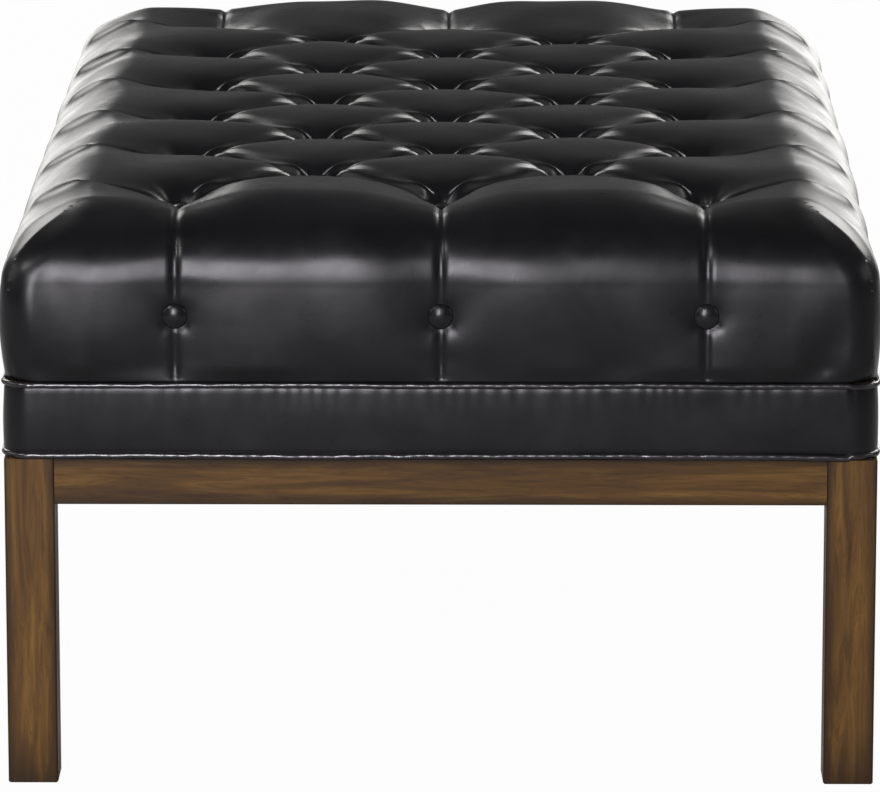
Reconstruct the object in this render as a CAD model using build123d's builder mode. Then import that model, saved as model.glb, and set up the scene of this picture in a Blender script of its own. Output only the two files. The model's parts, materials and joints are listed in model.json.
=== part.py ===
from build123d import *
import os
from math import asin, atan2, cos, degrees, radians, sin, sqrt

os.makedirs("parts", exist_ok=True)

# All sizes are in millimetres. X runs across the stool, Y along it with the front at -Y, Z up from the floor.

# Leg frame
frame_width = 660.0
frame_length = 1010.0
frame_height = 254.0
leg_size = 38.0
leg_edge_round = 1.6
foot_chamfer = 1.2
apron_height = 35.0
apron_thickness = 22.0
apron_edge_round = 1.0
tenon_thickness = 8.0
tenon_height = 24.0
tenon_length = 18.0
joint_gap = 0.1
cross_rail_width = 40.0
cross_rail_height = 28.0
stub_tenon_length = 8.0
brace_reach = 92.0
brace_toe = 12.0
brace_height = 26.0
brace_drop = 3.0
brace_screw_place = 68.0
brace_wood_left = 22.0
seat_screw_inset = 13.0
seat_screw_place = 46.0
seat_screw_bite = 28.0

# Layers between leg frame and seat frame
dust_cover_thickness = 0.6
dust_cover_inset = 4.0
piping_flange_thickness = 1.2

# Seat frame
seat_rail_width = 45.0
seat_rail_height = 43.0
slat_width = 40.0
slat_height = 30.0
deck_thickness = 12.0
deck_screw_length = 34.0
dowel_radius = 4.0
dowel_length = 36.0
dowel_spacing = 16.0

# Leather and soft layers
leather_thickness = 1.6
soft_gap = 0.3
band_proud = 1.0
band_wadding_thickness = 2.4
band_corner_radius = 20.0
lower_piping_radius = 2.0
upper_piping_radius = 2.25
piping_proud = 1.5
piping_flange_width = 18.0
lower_flange_width = 20.0
least_corner_radius = 1.0

# Cushion
cushion_top = 458.0
cushion_proud = 3.5
cushion_foot_proud = 1.2
cushion_edge_radius = 70.0
cushion_corner_radius = 28.0
wadding_thickness = 7.0
foam_pocket_radius = 28.0
foam_corner_radius = 40.0
foam_edge_chamfer = 36.0

# Tufting: rows of three buttons with rows of two between them
wide_row_count = 6
wide_row_buttons = 3
button_pitch_x = 200.0
button_pitch_y = 150.0
diamond_pleat_width = 50.0
diamond_pleat_depth = 22.0
diamond_pleat_slope = 8.0
side_pleat_width = 42.0
side_pleat_depth = 12.0
side_pleat_slope = 8.0
side_pleat_foot_depth = 4.0
dish_extra_width = 3.0
dish_extra_depth = 2.0
pocket_width = 23.0
pocket_depth = 39.0
pocket_slope = 35.0
side_pocket_width = 16.0
side_pocket_depth = 13.0
side_pocket_slope = 20.0
side_button_height = 364.5

# Buttons and twines
button_radius = 10.0
button_body_height = 3.6
button_dome_height = 3.4
button_seat_radius = 11.0
shank_radius = 1.6
shank_length = 3.0
twine_radius = 0.8
twine_hole_radius = 2.5
knot_radius = 2.2
washer_radius = 7.0
washer_thickness = 2.0
washer_hole_gap = 0.4
side_washer_hole_gap = 1.8
side_twine_reach = 64.0

# Screws and tacks
screw_radius = 2.0
screw_head_radius = 4.0
screw_head_height = 2.6
screw_hole_gap = 0.1
head_hole_gap = 0.4
screw_bite = 14.0
tack_radius = 0.9
tack_length = 12.0
tack_head_radius = 4.0
tack_head_height = 1.0
side_tack_count = 8
side_tack_pitch = 110.0
end_tack_count = 4
end_tack_pitch = 130.0
side_deck_screw_count = 4
end_deck_screw_count = 3

overrun = 5.0

# Levels worked out from the sizes above
lower_flange_bottom = frame_height + dust_cover_thickness
seat_bottom = lower_flange_bottom + piping_flange_thickness
deck_bottom = seat_bottom + seat_rail_height
deck_top = deck_bottom + deck_thickness
lower_piping_level = frame_height + lower_piping_radius
upper_piping_level = deck_top + piping_flange_thickness / 2
band_bottom = lower_piping_level + lower_piping_radius
band_top = upper_piping_level - upper_piping_radius
cushion_foot = upper_piping_level + upper_piping_radius
pocket_floor = cushion_top - pocket_depth
washer_bottom = deck_bottom - washer_thickness
soft_layers = leather_thickness + soft_gap + wadding_thickness
foam_top = cushion_top - diamond_pleat_depth - dish_extra_depth - soft_layers
foam_pocket_floor = pocket_floor - soft_layers

# How far each layer stands inside (minus) or outside (plus) the leg frame's outer faces
upper_piping_out = piping_proud + cushion_foot_proud - upper_piping_radius
lower_piping_out = band_proud - lower_piping_radius
band_lining_out = band_proud - leather_thickness
seat_frame_out = band_lining_out - band_wadding_thickness
foam_out = upper_piping_out - piping_flange_width - soft_gap
seat_corner_radius = band_corner_radius - leather_thickness - band_wadding_thickness

half_width = frame_width / 2
half_length = frame_length / 2
side_run = half_width - (wide_row_buttons - 1) / 2 * button_pitch_x
end_run = half_length - (wide_row_count - 1) / 2 * button_pitch_y
wide_row_places = [(i - (wide_row_count - 1) / 2) * button_pitch_y for i in range(wide_row_count)]
wide_column_places = [(i - (wide_row_buttons - 1) / 2) * button_pitch_x for i in range(wide_row_buttons)]

# One plane for each side of the stool: X points outward from the leg frame's outer face, Y runs along it
edge_planes = {
    "right": Plane((half_width, 0, 0), x_dir=(1, 0, 0), z_dir=(0, 0, 1)),
    "rear": Plane((0, half_length, 0), x_dir=(0, 1, 0), z_dir=(0, 0, 1)),
    "left": Plane((-half_width, 0, 0), x_dir=(-1, 0, 0), z_dir=(0, 0, 1)),
    "front": Plane((0, -half_length, 0), x_dir=(0, -1, 0), z_dir=(0, 0, 1)),
}
long_sides = ("right", "left")

# One plane for each corner inside the aprons: X and Y both point into the stool
inner_x = half_width - apron_thickness
inner_y = half_length - apron_thickness
corner_planes = {
    "front_left": Plane((-inner_x, -inner_y, 0), x_dir=(1, 0, 0), z_dir=(0, 0, 1)),
    "front_right": Plane((inner_x, -inner_y, 0), x_dir=(0, 1, 0), z_dir=(0, 0, 1)),
    "rear_right": Plane((inner_x, inner_y, 0), x_dir=(-1, 0, 0), z_dir=(0, 0, 1)),
    "rear_left": Plane((-inner_x, inner_y, 0), x_dir=(0, -1, 0), z_dir=(0, 0, 1)),
}


def box_between(low, high, mode=Mode.ADD):
    """A box from its low corner to its high corner, in the part being built."""
    middle = (Vector(*low) + Vector(*high)) / 2
    with Locations(middle):
        Box(high[0] - low[0], high[1] - low[1], high[2] - low[2], mode=mode)


def finish_part(part, name):
    """Labels one sub-part and writes its file."""
    part.label = name
    export_step(part, f"parts/{name}.step")


def side_places(side):
    """Where the pleats of one side start, as places on that side's plane."""
    rows = wide_row_places if side in long_sides else wide_column_places
    return [edge_planes[side].location * Location((0, place, 0)) for place in rows]


def run_of(side):
    """Distance from the leg frame's outer face to the outermost top buttons of one side."""
    return side_run if side in long_sides else end_run


def button_rows():
    """Every row of top buttons from front to rear, each a list of points."""
    rows = []
    for i, y in enumerate(wide_row_places):
        rows.append([(x, y) for x in wide_column_places])
        if i + 1 < wide_row_count:
            between = [x + button_pitch_x / 2 for x in wide_column_places[:-1]]
            rows.append([(x, y + button_pitch_y / 2) for x in between])
    return rows


# Legs and aprons


def apron_tenon(side, inflate, overrun_length):
    """Spans, in one side's plane, of the tenon at each end of that side's apron."""
    half_span = (half_length if side in long_sides else half_width) - leg_size
    middle_x = -apron_thickness / 2
    middle_z = frame_height - apron_height / 2
    half_thick = tenon_thickness / 2 + inflate
    half_high = tenon_height / 2 + inflate
    reach = half_span + tenon_length + inflate
    spans = []
    for end in (-1, 1):
        along = sorted((end * (half_span - overrun_length), end * reach))
        low = (middle_x - half_thick, along[0], middle_z - half_high)
        high = (middle_x + half_thick, along[1], middle_z + half_high)
        spans.append((low, high))
    return spans


def tenon_cutters(side):
    """The room in the legs for one apron's two tenons."""
    with BuildPart(edge_planes[side]) as cutter:
        for low, high in apron_tenon(side, joint_gap, overrun):
            box_between(low, high)
    return cutter.part


def make_leg(name, side_x, side_y, cutters):
    """A square leg, eased along its edges, mortised for the two aprons that meet in it."""
    foot = Plane((side_x * (half_width - leg_size / 2), side_y * (half_length - leg_size / 2), 0))
    with BuildPart() as leg:
        with BuildSketch(foot):
            Rectangle(leg_size, leg_size)
        extrude(amount=frame_height)
        fillet(leg.edges().filter_by(Axis.Z), leg_edge_round)
        chamfer(leg.faces().sort_by(Axis.Z)[0].edges(), foot_chamfer)
        for cutter in cutters:
            add(cutter, mode=Mode.SUBTRACT)
    finish_part(leg.part, name)


def make_apron(side, holes):
    """A rail between two legs, flush with their outer faces and tops, with a tenon at each end."""
    half_span = (half_length if side in long_sides else half_width) - leg_size
    with BuildPart(edge_planes[side]) as rail:
        low = (-apron_thickness, -half_span, frame_height - apron_height)
        high = (0, half_span, frame_height)
        box_between(low, high)
        outward = Axis((0, 0, 0), edge_planes[side].x_dir)
        along = Axis((0, 0, 0), edge_planes[side].y_dir)
        outer = rail.edges().filter_by(along).group_by(outward)[-1]
        fillet(outer.sort_by(Axis.Z)[0], apron_edge_round)
        for low, high in apron_tenon(side, 0, overrun):
            box_between(low, high)
        if side in long_sides:
            low, high = cross_rail_mortise()
            box_between(low, high, Mode.SUBTRACT)
    with BuildPart() as apron:
        add(rail.part)
        add(holes, mode=Mode.SUBTRACT)
    finish_part(apron.part, f"apron_{side}")


def cross_rail_mortise():
    """Room in a long apron, in its side's plane, for the cross rail's stub tenon."""
    half_wide = cross_rail_width / 2 + joint_gap
    low = (-apron_thickness - overrun, -half_wide, frame_height - cross_rail_height - joint_gap)
    high = (-apron_thickness + stub_tenon_length + joint_gap, half_wide, frame_height + overrun)
    return low, high


def make_cross_rail():
    """The rail across the middle of the leg frame, let into both long aprons from above."""
    reach = inner_x + stub_tenon_length
    with BuildPart() as cross_rail:
        low = (-reach, -cross_rail_width / 2, frame_height - cross_rail_height)
        box_between(low, (reach, cross_rail_width / 2, frame_height))
    finish_part(cross_rail.part, "cross_rail")


# Corner braces and screws


def brace_top():
    return frame_height - brace_drop


def brace_screw_places(side):
    """Heads' seats of a corner's two horizontal screws, in that corner's plane, pointing at the aprons."""
    middle_z = brace_top() - brace_height / 2
    if side == "x":
        return Plane((brace_wood_left, brace_screw_place, middle_z), z_dir=(-1, 0, 0))
    return Plane((brace_screw_place, brace_wood_left, middle_z), z_dir=(0, -1, 0))


def seat_screw_seat():
    """Head's seat of a corner's upright screw, in that corner's plane."""
    return Plane((seat_screw_inset, seat_screw_place, brace_top() - brace_height))


def screw_solid(place, length):
    """A round-headed screw whose head's underside lies on the place, pointing along its Z."""
    with BuildPart(place) as screw:
        Cylinder(screw_radius, length, align=(Align.CENTER, Align.CENTER, Align.MIN))
        with Locations((0, 0, -screw_head_height)):
            Cylinder(screw_head_radius, screw_head_height, align=(Align.CENTER, Align.CENTER, Align.MIN))
        top = screw.edges().filter_by(GeomType.CIRCLE).sort_by(Axis(place.origin, place.z_dir))[0]
        fillet(top, screw_head_height / 3)
    return screw.part


def screw_room(place, length, head_room):
    """The hole for a screw: a close hole for its shank and a wide one behind its head's seat."""
    with BuildPart(place) as room:
        hole = screw_radius + screw_hole_gap
        Cylinder(hole, length + screw_hole_gap, align=(Align.CENTER, Align.CENTER, Align.MIN))
        with Locations((0, 0, -head_room)):
            wide = screw_head_radius + head_hole_gap
            Cylinder(wide, head_room, align=(Align.CENTER, Align.CENTER, Align.MIN))
    return room.part


brace_screw_length = brace_wood_left + screw_bite
seat_screw_length = brace_height + brace_drop + (seat_bottom - frame_height) + seat_screw_bite


def corner_screws(corner):
    """The three screw places of one corner, in the stool's own frame."""
    location = corner_planes[corner].location
    level = [brace_screw_places("x"), brace_screw_places("y")]
    upright = seat_screw_seat()
    return [Plane(location * p.location) for p in level], Plane(location * upright.location)


def make_brace(corner):
    """A corner block notched round its leg, screwed to both aprons."""
    notch = leg_size - apron_thickness + joint_gap
    level_places, upright_place = corner_screws(corner)
    with BuildPart() as brace:
        with BuildSketch(corner_planes[corner].offset(brace_top() - brace_height)):
            with BuildLine():
                Polyline(
                    (notch, 0),
                    (brace_reach, 0),
                    (brace_reach, brace_toe),
                    (brace_toe, brace_reach),
                    (0, brace_reach),
                    (0, notch),
                    (notch, notch),
                    close=True,
                )
            make_face()
        extrude(amount=brace_height)
        for place in level_places:
            add(screw_room(place, brace_screw_length, brace_reach), mode=Mode.SUBTRACT)
        add(screw_room(upright_place, seat_screw_length, overrun), mode=Mode.SUBTRACT)
    finish_part(brace.part, f"corner_brace_{corner}")


def make_screw_group(name, places, length):
    """Equal screws in one node, each a solid of its own."""
    screws = [screw_solid(place, length) for place in places]
    with BuildPart() as group:
        for screw in screws:
            add(screw)
    finish_part(group.part, name)


# Seat frame


def frame_outline(out, radius, level, height):
    """A round-cornered slab whose outline stands out from the leg frame's outer faces."""
    with BuildPart() as slab:
        with BuildSketch(Plane.XY.offset(level)):
            RectangleRounded(frame_width + 2 * out, frame_length + 2 * out, radius)
        extrude(amount=height)
    return slab.part


def slat_places():
    """Middles of the two slats, each between two rows of buttons so that the twines pass."""
    middle = button_pitch_y * (wide_row_count - 1) / 4
    return (-middle, middle)


def dowel_solid(place, radius, length):
    """A dowel, or the room for one, centred on its place."""
    with BuildPart(place) as dowel:
        Cylinder(radius, length)
    return dowel.part


def dowel_places():
    """The dowels that join the end rails and slats to the long rails."""
    rail_inner_x = half_width + seat_frame_out - seat_rail_width
    end_y = half_length + seat_frame_out - seat_rail_width / 2
    rows = [(y, deck_bottom - seat_rail_height / 2) for y in (-end_y, end_y)]
    rows += [(y, deck_bottom - slat_height / 2) for y in slat_places()]
    places = []
    for y, level in rows:
        for side in (-1, 1):
            for shift in (-dowel_spacing / 2, dowel_spacing / 2):
                places.append(Plane((side * rail_inner_x, y + shift, level), z_dir=(1, 0, 0)))
    return places


def deck_screw_places():
    """Deck screws down the middle of every seat rail, pointing down from the deck's top."""
    line_x = half_width + seat_frame_out - seat_rail_width / 2
    line_y = half_length + seat_frame_out - seat_rail_width / 2
    points = []
    for i in range(side_deck_screw_count):
        y = line_y * ((2 * i + 1) / side_deck_screw_count - 1)
        points += [(-line_x, y), (line_x, y)]
    for i in range(end_deck_screw_count):
        x = line_x * ((2 * i + 1) / end_deck_screw_count - 1)
        points += [(x, -line_y), (x, line_y)]
    return points


def deck_screw_solid(point, gap):
    """A flat-headed screw sunk flush in the deck, or the room for one, made wider by gap all round."""
    head = screw_head_radius + gap
    shank = screw_radius + gap
    tip = deck_top - deck_screw_length - gap
    with BuildPart() as screw:
        with BuildSketch(Plane((point[0], point[1], 0), x_dir=(1, 0, 0), z_dir=(0, -1, 0))):
            with BuildLine():
                Polyline((0, tip), (shank, tip), (shank, deck_top - screw_head_height))
                Polyline((shank, deck_top - screw_head_height), (head, deck_top), (0, deck_top), (0, tip))
            make_face()
        revolve(axis=Axis((point[0], point[1], 0), (0, 0, 1)))
    return screw.part


def tack_places():
    """Points where the dust cover is tacked up, under the middle of the seat rails' free part."""
    line_x = inner_x - seat_screw_inset
    line_y = inner_y - seat_screw_inset
    points = []
    for i in range(side_tack_count):
        y = (i - (side_tack_count - 1) / 2) * side_tack_pitch
        points += [(-line_x, y), (line_x, y)]
    for i in range(end_tack_count):
        x = (i - (end_tack_count - 1) / 2) * end_tack_pitch
        points += [(x, -line_y), (x, line_y)]
    return points


def tack_solid(point, gap):
    """An upholstery tack pointing up through the dust cover, or the room for its shank."""
    with BuildPart(Plane((point[0], point[1], frame_height))) as tack:
        Cylinder(tack_radius + gap, tack_length + gap, align=(Align.CENTER, Align.CENTER, Align.MIN))
        if gap == 0:
            with Locations((0, 0, -tack_head_height)):
                Cylinder(tack_head_radius, tack_head_height, align=(Align.CENTER, Align.CENTER, Align.MIN))
    return tack.part


def make_seat_rail(side, rooms):
    """A rail of the seat frame: the long ones run full length and have the frame's round corners."""
    rail_out_x = half_width + seat_frame_out
    rail_out_y = half_length + seat_frame_out
    with BuildPart() as rail:
        if side in long_sides:
            sign = 1 if side == "right" else -1
            low = (min(sign * rail_out_x, sign * (rail_out_x - seat_rail_width)), -rail_out_y, seat_bottom)
            high = (low[0] + seat_rail_width, rail_out_y, deck_bottom)
            box_between(low, high)
            outer = rail.edges().filter_by(Axis.Z).sort_by(Axis.X)
            fillet(outer[-2:] if sign > 0 else outer[:2], seat_corner_radius)
        else:
            sign = 1 if side == "rear" else -1
            reach = rail_out_x - seat_rail_width
            low = (-reach, min(sign * rail_out_y, sign * (rail_out_y - seat_rail_width)), seat_bottom)
            box_between(low, (reach, low[1] + seat_rail_width, deck_bottom))
        for room in rooms:
            add(room, mode=Mode.SUBTRACT)
    finish_part(rail.part, f"seat_rail_{side}")


def make_slat(name, y, rooms):
    """A cross slat let in between the long rails, flush with their tops, under the deck."""
    reach = half_width + seat_frame_out - seat_rail_width
    with BuildPart() as slat:
        low = (-reach, y - slat_width / 2, deck_bottom - slat_height)
        box_between(low, (reach, y + slat_width / 2, deck_bottom))
        for room in rooms:
            add(room, mode=Mode.SUBTRACT)
    finish_part(slat.part, name)


def make_group(name, solids):
    """Like pieces in one node, each a solid of its own."""
    with BuildPart() as group:
        for solid in solids:
            add(solid)
    finish_part(group.part, name)


# Tufted cushion form


def flank_circle(width, depth, slope):
    """Centre and radius of a puff's flank: an arc from a valley this deep up to the crest level this far
    out, where it meets the crest level at the slope in degrees. The valley's middle is at zero."""
    tilt = radians(slope)
    radius = (width**2 + depth**2) / (2 * (depth * cos(tilt) - width * sin(tilt)))
    return width + radius * sin(tilt), -radius * cos(tilt), radius


def flank_height(circle, across):
    """Height of a flank's arc at a distance from the valley."""
    centre_x, centre_z, radius = circle
    return centre_z + sqrt(radius**2 - (across - centre_x) ** 2)


def arc_middle(circle, start, end):
    """The point of a flank's arc halfway in turn between two of its points."""
    centre_x, centre_z, radius = circle
    angles = [atan2(p[1] - centre_z, p[0] - centre_x) for p in (start, end)]
    middle = sum(angles) / 2
    return centre_x + radius * cos(middle), centre_z + radius * sin(middle)


def pleat_section(width, depth, slope):
    """Sketch lines of the room between two puffs, whose valley's point is at the sketch's origin."""
    circle = flank_circle(width, depth, slope)
    valley = (0, flank_height(circle, 0))
    rim_across = width + overrun
    rim = (rim_across, flank_height(circle, rim_across))
    middle = arc_middle(circle, valley, rim)
    ThreePointArc(valley, middle, rim)
    Polyline(rim, (rim_across, overrun), (-rim_across, overrun), (-rim[0], rim[1]))
    ThreePointArc((-rim[0], rim[1]), (-middle[0], middle[1]), valley)


def pit_solid(width, depth, slope, seat_radius):
    """The room round a button, opening upward from a flat seat, its crest level at the origin's height."""
    centre_x, centre_z, radius = flank_circle(width, depth, slope)
    circle = (centre_x + seat_radius, centre_z, radius)
    start = (seat_radius, -depth)
    rim_across = seat_radius + width + overrun
    rim = (rim_across, flank_height(circle, rim_across))
    with BuildPart() as pit:
        with BuildSketch(Plane.XZ):
            with BuildLine():
                ThreePointArc(start, arc_middle(circle, start, rim), rim)
                if seat_radius:
                    Polyline(rim, (rim_across, overrun), (0, overrun), (0, -depth), start)
                else:
                    Polyline(rim, (rim_across, overrun), (0, overrun), start)
            make_face()
        revolve(axis=Axis.Z)
    return pit.part


def diamond_pleat(start, end):
    """A straight pleat across the top from one outer button to another."""
    along = Vector(end[0] - start[0], end[1] - start[1], 0)
    plane = Plane((start[0], start[1], cushion_top), x_dir=(-along.Y, along.X, 0), z_dir=along)
    with BuildPart() as pleat:
        with BuildSketch(plane):
            with BuildLine():
                pleat_section(diamond_pleat_width, diamond_pleat_depth, diamond_pleat_slope)
            make_face()
        extrude(amount=along.length)
    return pleat.part


def diamond_pleat_ends():
    """First and last button of every diagonal pleat, found by walking from button to button."""
    points = {(round(x, 3), round(y, 3)) for row in button_rows() for x, y in row}
    ends = []
    for step_x in (button_pitch_x / 2, -button_pitch_x / 2):
        step_y = button_pitch_y / 2
        for x, y in sorted(points):
            if (round(x - step_x, 3), round(y - step_y, 3)) in points:
                continue
            last = (x, y)
            while (round(last[0] + step_x, 3), round(last[1] + step_y, 3)) in points:
                last = (round(last[0] + step_x, 3), round(last[1] + step_y, 3))
            if last != (x, y):
                ends.append(((x, y), last))
    return ends


def side_pleat(run):
    """A pleat from an outermost top button over the edge and down to the piping, in a side's plane. Over
    the edge it turns about the edge's own centre, and down the side it runs shallower towards the piping."""
    centre_out = cushion_proud - cushion_edge_radius
    centre_level = cushion_top - cushion_edge_radius
    foot_shift = (side_pleat_depth - side_pleat_foot_depth) - (cushion_proud - cushion_foot_proud)
    tilt = degrees(atan2(foot_shift, centre_level - cushion_foot))
    with BuildPart() as pleat:
        for start in (-run, centre_out):
            with BuildSketch(Plane((start, 0, cushion_top), x_dir=(0, 1, 0), z_dir=(1, 0, 0))):
                with BuildLine():
                    pleat_section(side_pleat_width, side_pleat_depth, side_pleat_slope)
                make_face()
            if start == -run:
                extrude(amount=run + centre_out)
        turn_axis = Axis((centre_out, 0, centre_level), (0, 1, 0))
        revolve(axis=turn_axis, revolution_arc=90 - tilt)
        end = pleat.faces().filter_by(GeomType.PLANE).sort_by(Axis.Z)[0]
        extrude(end, amount=centre_level - cushion_foot + 2 * side_pleat_width)
    return pleat.part


def edge_profile(half_size):
    """Outline lines of the cushion cut across: bellied sides and a large round over each top edge."""
    side = half_size + cushion_proud
    foot = half_size + cushion_foot_proud
    crown_side = side - cushion_edge_radius
    edge_level = cushion_top - cushion_edge_radius
    diagonal = cushion_edge_radius * sqrt(1 / 2)
    edge_middle = (crown_side + diagonal, edge_level + diagonal)
    Line((-crown_side, cushion_top), (crown_side, cushion_top))
    ThreePointArc((crown_side, cushion_top), edge_middle, (side, edge_level))
    Polyline((side, edge_level), (foot, cushion_foot), (-foot, cushion_foot), (-side, edge_level))
    ThreePointArc((-side, edge_level), (-edge_middle[0], edge_middle[1]), (-crown_side, cushion_top))


def cushion_block():
    """The cushion before it is buttoned: its outlines across and along, met inside a round-cornered plan."""
    with BuildPart() as lengthwise:
        with BuildSketch(Plane.YZ):
            with BuildLine():
                edge_profile(half_length)
            make_face()
        extrude(amount=half_width + cushion_proud, both=True)
    with BuildPart() as block:
        with BuildSketch(Plane.XZ):
            with BuildLine():
                edge_profile(half_width)
            make_face()
        extrude(amount=half_length + cushion_proud, both=True)
        add(lengthwise.part, mode=Mode.INTERSECT)
        with BuildSketch(Plane.XY.offset(cushion_foot)):
            wide = frame_width + 2 * cushion_proud
            RectangleRounded(wide, frame_length + 2 * cushion_proud, cushion_corner_radius)
        extrude(amount=cushion_top, mode=Mode.INTERSECT)
    return block.part


def side_button_places(side):
    """Seats of one side's buttons: the cushion's side face at button height, Z pointing outward."""
    seat = Location(Plane((cushion_proud, 0, side_button_height), x_dir=(0, 1, 0), z_dir=(1, 0, 0)))
    return [place * seat for place in side_places(side)]


def tufted_form():
    """The buttoned cushion: the block less the rooms of its pleats, pockets and side pits."""
    block = cushion_block()
    pleat_ends = diamond_pleat_ends()
    pleats = [diamond_pleat(start, end) for start, end in pleat_ends]
    dish_width = diamond_pleat_width + dish_extra_width
    dish = pit_solid(dish_width, diamond_pleat_depth + dish_extra_depth, diamond_pleat_slope, 0)
    outer_buttons = sorted({point for ends in pleat_ends for point in ends})
    dishes = [dish.moved(Location((x, y, cushion_top))) for x, y in outer_buttons]
    pocket = pit_solid(pocket_width, pocket_depth, pocket_slope, button_seat_radius)
    pockets = [pocket.moved(place) for place in top_button_places(cushion_top)]
    pit = pit_solid(side_pocket_width, side_pocket_depth, side_pocket_slope, button_seat_radius)
    side_pleats = []
    side_pits = []
    for side in edge_planes:
        pleat = side_pleat(run_of(side))
        side_pleats += [pleat.moved(place) for place in side_places(side)]
        side_pits += [pit.moved(place) for place in side_button_places(side)]
    with BuildPart() as form:
        add(block)
        for cutters in (pleats + dishes, side_pleats, pockets, side_pits):
            add(cutters, mode=Mode.SUBTRACT)
    return form.part


# Buttons, twines and the holes they need


def top_button_places(level):
    """A place over every top button, at a level."""
    return [Location((x, y, level)) for row in button_rows() for x, y in row]


def button_solid():
    """A covered button: a domed cap with a rolled edge, and a small shank under it."""
    rim_low = (button_radius - button_body_height / 3, 0)
    rim_middle = (button_radius, button_body_height / 2)
    rim_high = (button_radius - button_body_height / 3, button_body_height)
    crown_height = button_body_height + button_dome_height
    dome_radius = (rim_high[0] ** 2 + button_dome_height**2) / (2 * button_dome_height)
    half_turn = asin(rim_high[0] / dome_radius) / 2
    shoulder = (dome_radius * sin(half_turn), crown_height - dome_radius * (1 - cos(half_turn)))
    with BuildPart() as button:
        with BuildSketch(Plane.XZ):
            with BuildLine():
                Line((0, 0), rim_low)
                ThreePointArc(rim_low, rim_middle, rim_high)
                ThreePointArc(rim_high, shoulder, (0, crown_height))
                Line((0, crown_height), (0, 0))
            make_face()
        revolve(axis=Axis.Z)
        Cylinder(shank_radius, shank_length, align=(Align.CENTER, Align.CENTER, Align.MAX))
    return button.part


def rod_between(start, end, radius):
    """A round rod from one point to another."""
    along = Vector(*end) - Vector(*start)
    with BuildPart(Plane(start, z_dir=along)) as rod:
        Cylinder(radius, along.length, align=(Align.CENTER, Align.CENTER, Align.MIN))
    return rod.part


side_twine_lean = side_twine_reach / (side_button_height - deck_bottom)


def side_twine_ends():
    """Ends of a side button's twine, in a side's plane: the button's shank and under the deck's washer."""
    start_x = cushion_proud - side_pocket_depth - shank_length
    start = (start_x, 0, side_button_height)
    drop = side_button_height - washer_bottom
    return start, (start_x - side_twine_lean * drop, 0, washer_bottom)


def twine_with_knot(start, end):
    """A twine and the knot that holds its washer, whose top lies against the washer's underside."""
    rod = rod_between(start, end, twine_radius)
    with BuildPart() as twine:
        add(rod)
        with Locations((end[0], end[1], end[2] - knot_radius)):
            Sphere(knot_radius)
    return twine.part


def top_twine():
    """A top button's twine, straight down through foam and deck."""
    return twine_with_knot((0, 0, pocket_floor - shank_length), (0, 0, washer_bottom))


def side_twine():
    """A side button's twine, slanting down and inward through foam and deck. Its slanting end is set
    back so that only the end's edge meets the shank."""
    start, end = side_twine_ends()
    setback = twine_radius / sqrt(1 + side_twine_lean**2)
    return twine_with_knot((start[0] - setback, 0, side_button_height), end)


def washer_solid(hole_radius):
    """A flat washer with its top on the deck's underside."""
    with BuildPart(Plane.XY.offset(washer_bottom)) as washer:
        Cylinder(washer_radius, washer_thickness, align=(Align.CENTER, Align.CENTER, Align.MIN))
        Cylinder(hole_radius, 2 * washer_thickness, mode=Mode.SUBTRACT)
    return washer.part


def top_twine_room():
    """The hole that a top button's shank and twine pass through."""
    return rod_between((0, 0, deck_bottom - overrun), (0, 0, pocket_floor + overrun), twine_hole_radius)


def side_twine_room():
    """The hole that a side button's shank and twine pass through, in a side's plane."""
    start, end = side_twine_ends()
    slant = rod_between(start, end, twine_hole_radius)
    level = rod_between(start, (cushion_proud, 0, side_button_height), twine_hole_radius)
    with BuildPart() as room:
        add(slant)
        add(level)
        with Locations(start):
            Sphere(twine_hole_radius)
    return room.part


def all_side_places():
    return [place for side in edge_planes for place in side_places(side)]


def twine_rooms():
    """Every button's hole."""
    top_room = top_twine_room()
    side_room = side_twine_room()
    rooms = [top_room.moved(place) for place in top_button_places(0)]
    return rooms + [side_room.moved(place) for place in all_side_places()]


# Soft pieces


def foam_shape(grow):
    """The foam's outline, with a pocket under each top button, made larger by grow all round."""
    with BuildPart() as foam:
        with BuildSketch(Plane.XY.offset(deck_top)):
            out = 2 * (foam_out + grow)
            RectangleRounded(frame_width + out, frame_length + out, foam_corner_radius + grow)
        extrude(amount=foam_top + grow - deck_top)
        chamfer(foam.faces().sort_by(Axis.Z)[-1].edges(), foam_edge_chamfer)
        with Locations(*top_button_places(foam_pocket_floor + grow)):
            upward = (Align.CENTER, Align.CENTER, Align.MIN)
            Cylinder(foam_pocket_radius - grow, foam_top, align=upward, mode=Mode.SUBTRACT)
    return foam.part


def below(level):
    """A slab that clears away everything under a level."""
    with BuildPart(Plane.XY.offset(level)) as slab:
        upside_down = (Align.CENTER, Align.CENTER, Align.MAX)
        Box(2 * frame_width, 2 * frame_length, cushion_top, align=upside_down)
    return slab.part


def make_foam_block(rooms):
    """Firm foam with a pocket and a twine hole for each button."""
    shape = foam_shape(0)
    with BuildPart() as foam:
        add(shape)
        add(rooms, mode=Mode.SUBTRACT)
    finish_part(foam.part, "foam_block")


def make_wadding(rooms):
    """The even wadding layer wrapped over the foam and into its pockets, down to the piping's flange."""
    outer = foam_shape(wadding_thickness)
    inner = foam_shape(soft_gap)
    lower_end = below(cushion_foot)
    with BuildPart() as wadding:
        add(outer)
        add(inner, mode=Mode.SUBTRACT)
        add(lower_end, mode=Mode.SUBTRACT)
        add(rooms, mode=Mode.SUBTRACT)
    finish_part(wadding.part, "wadding")


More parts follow.
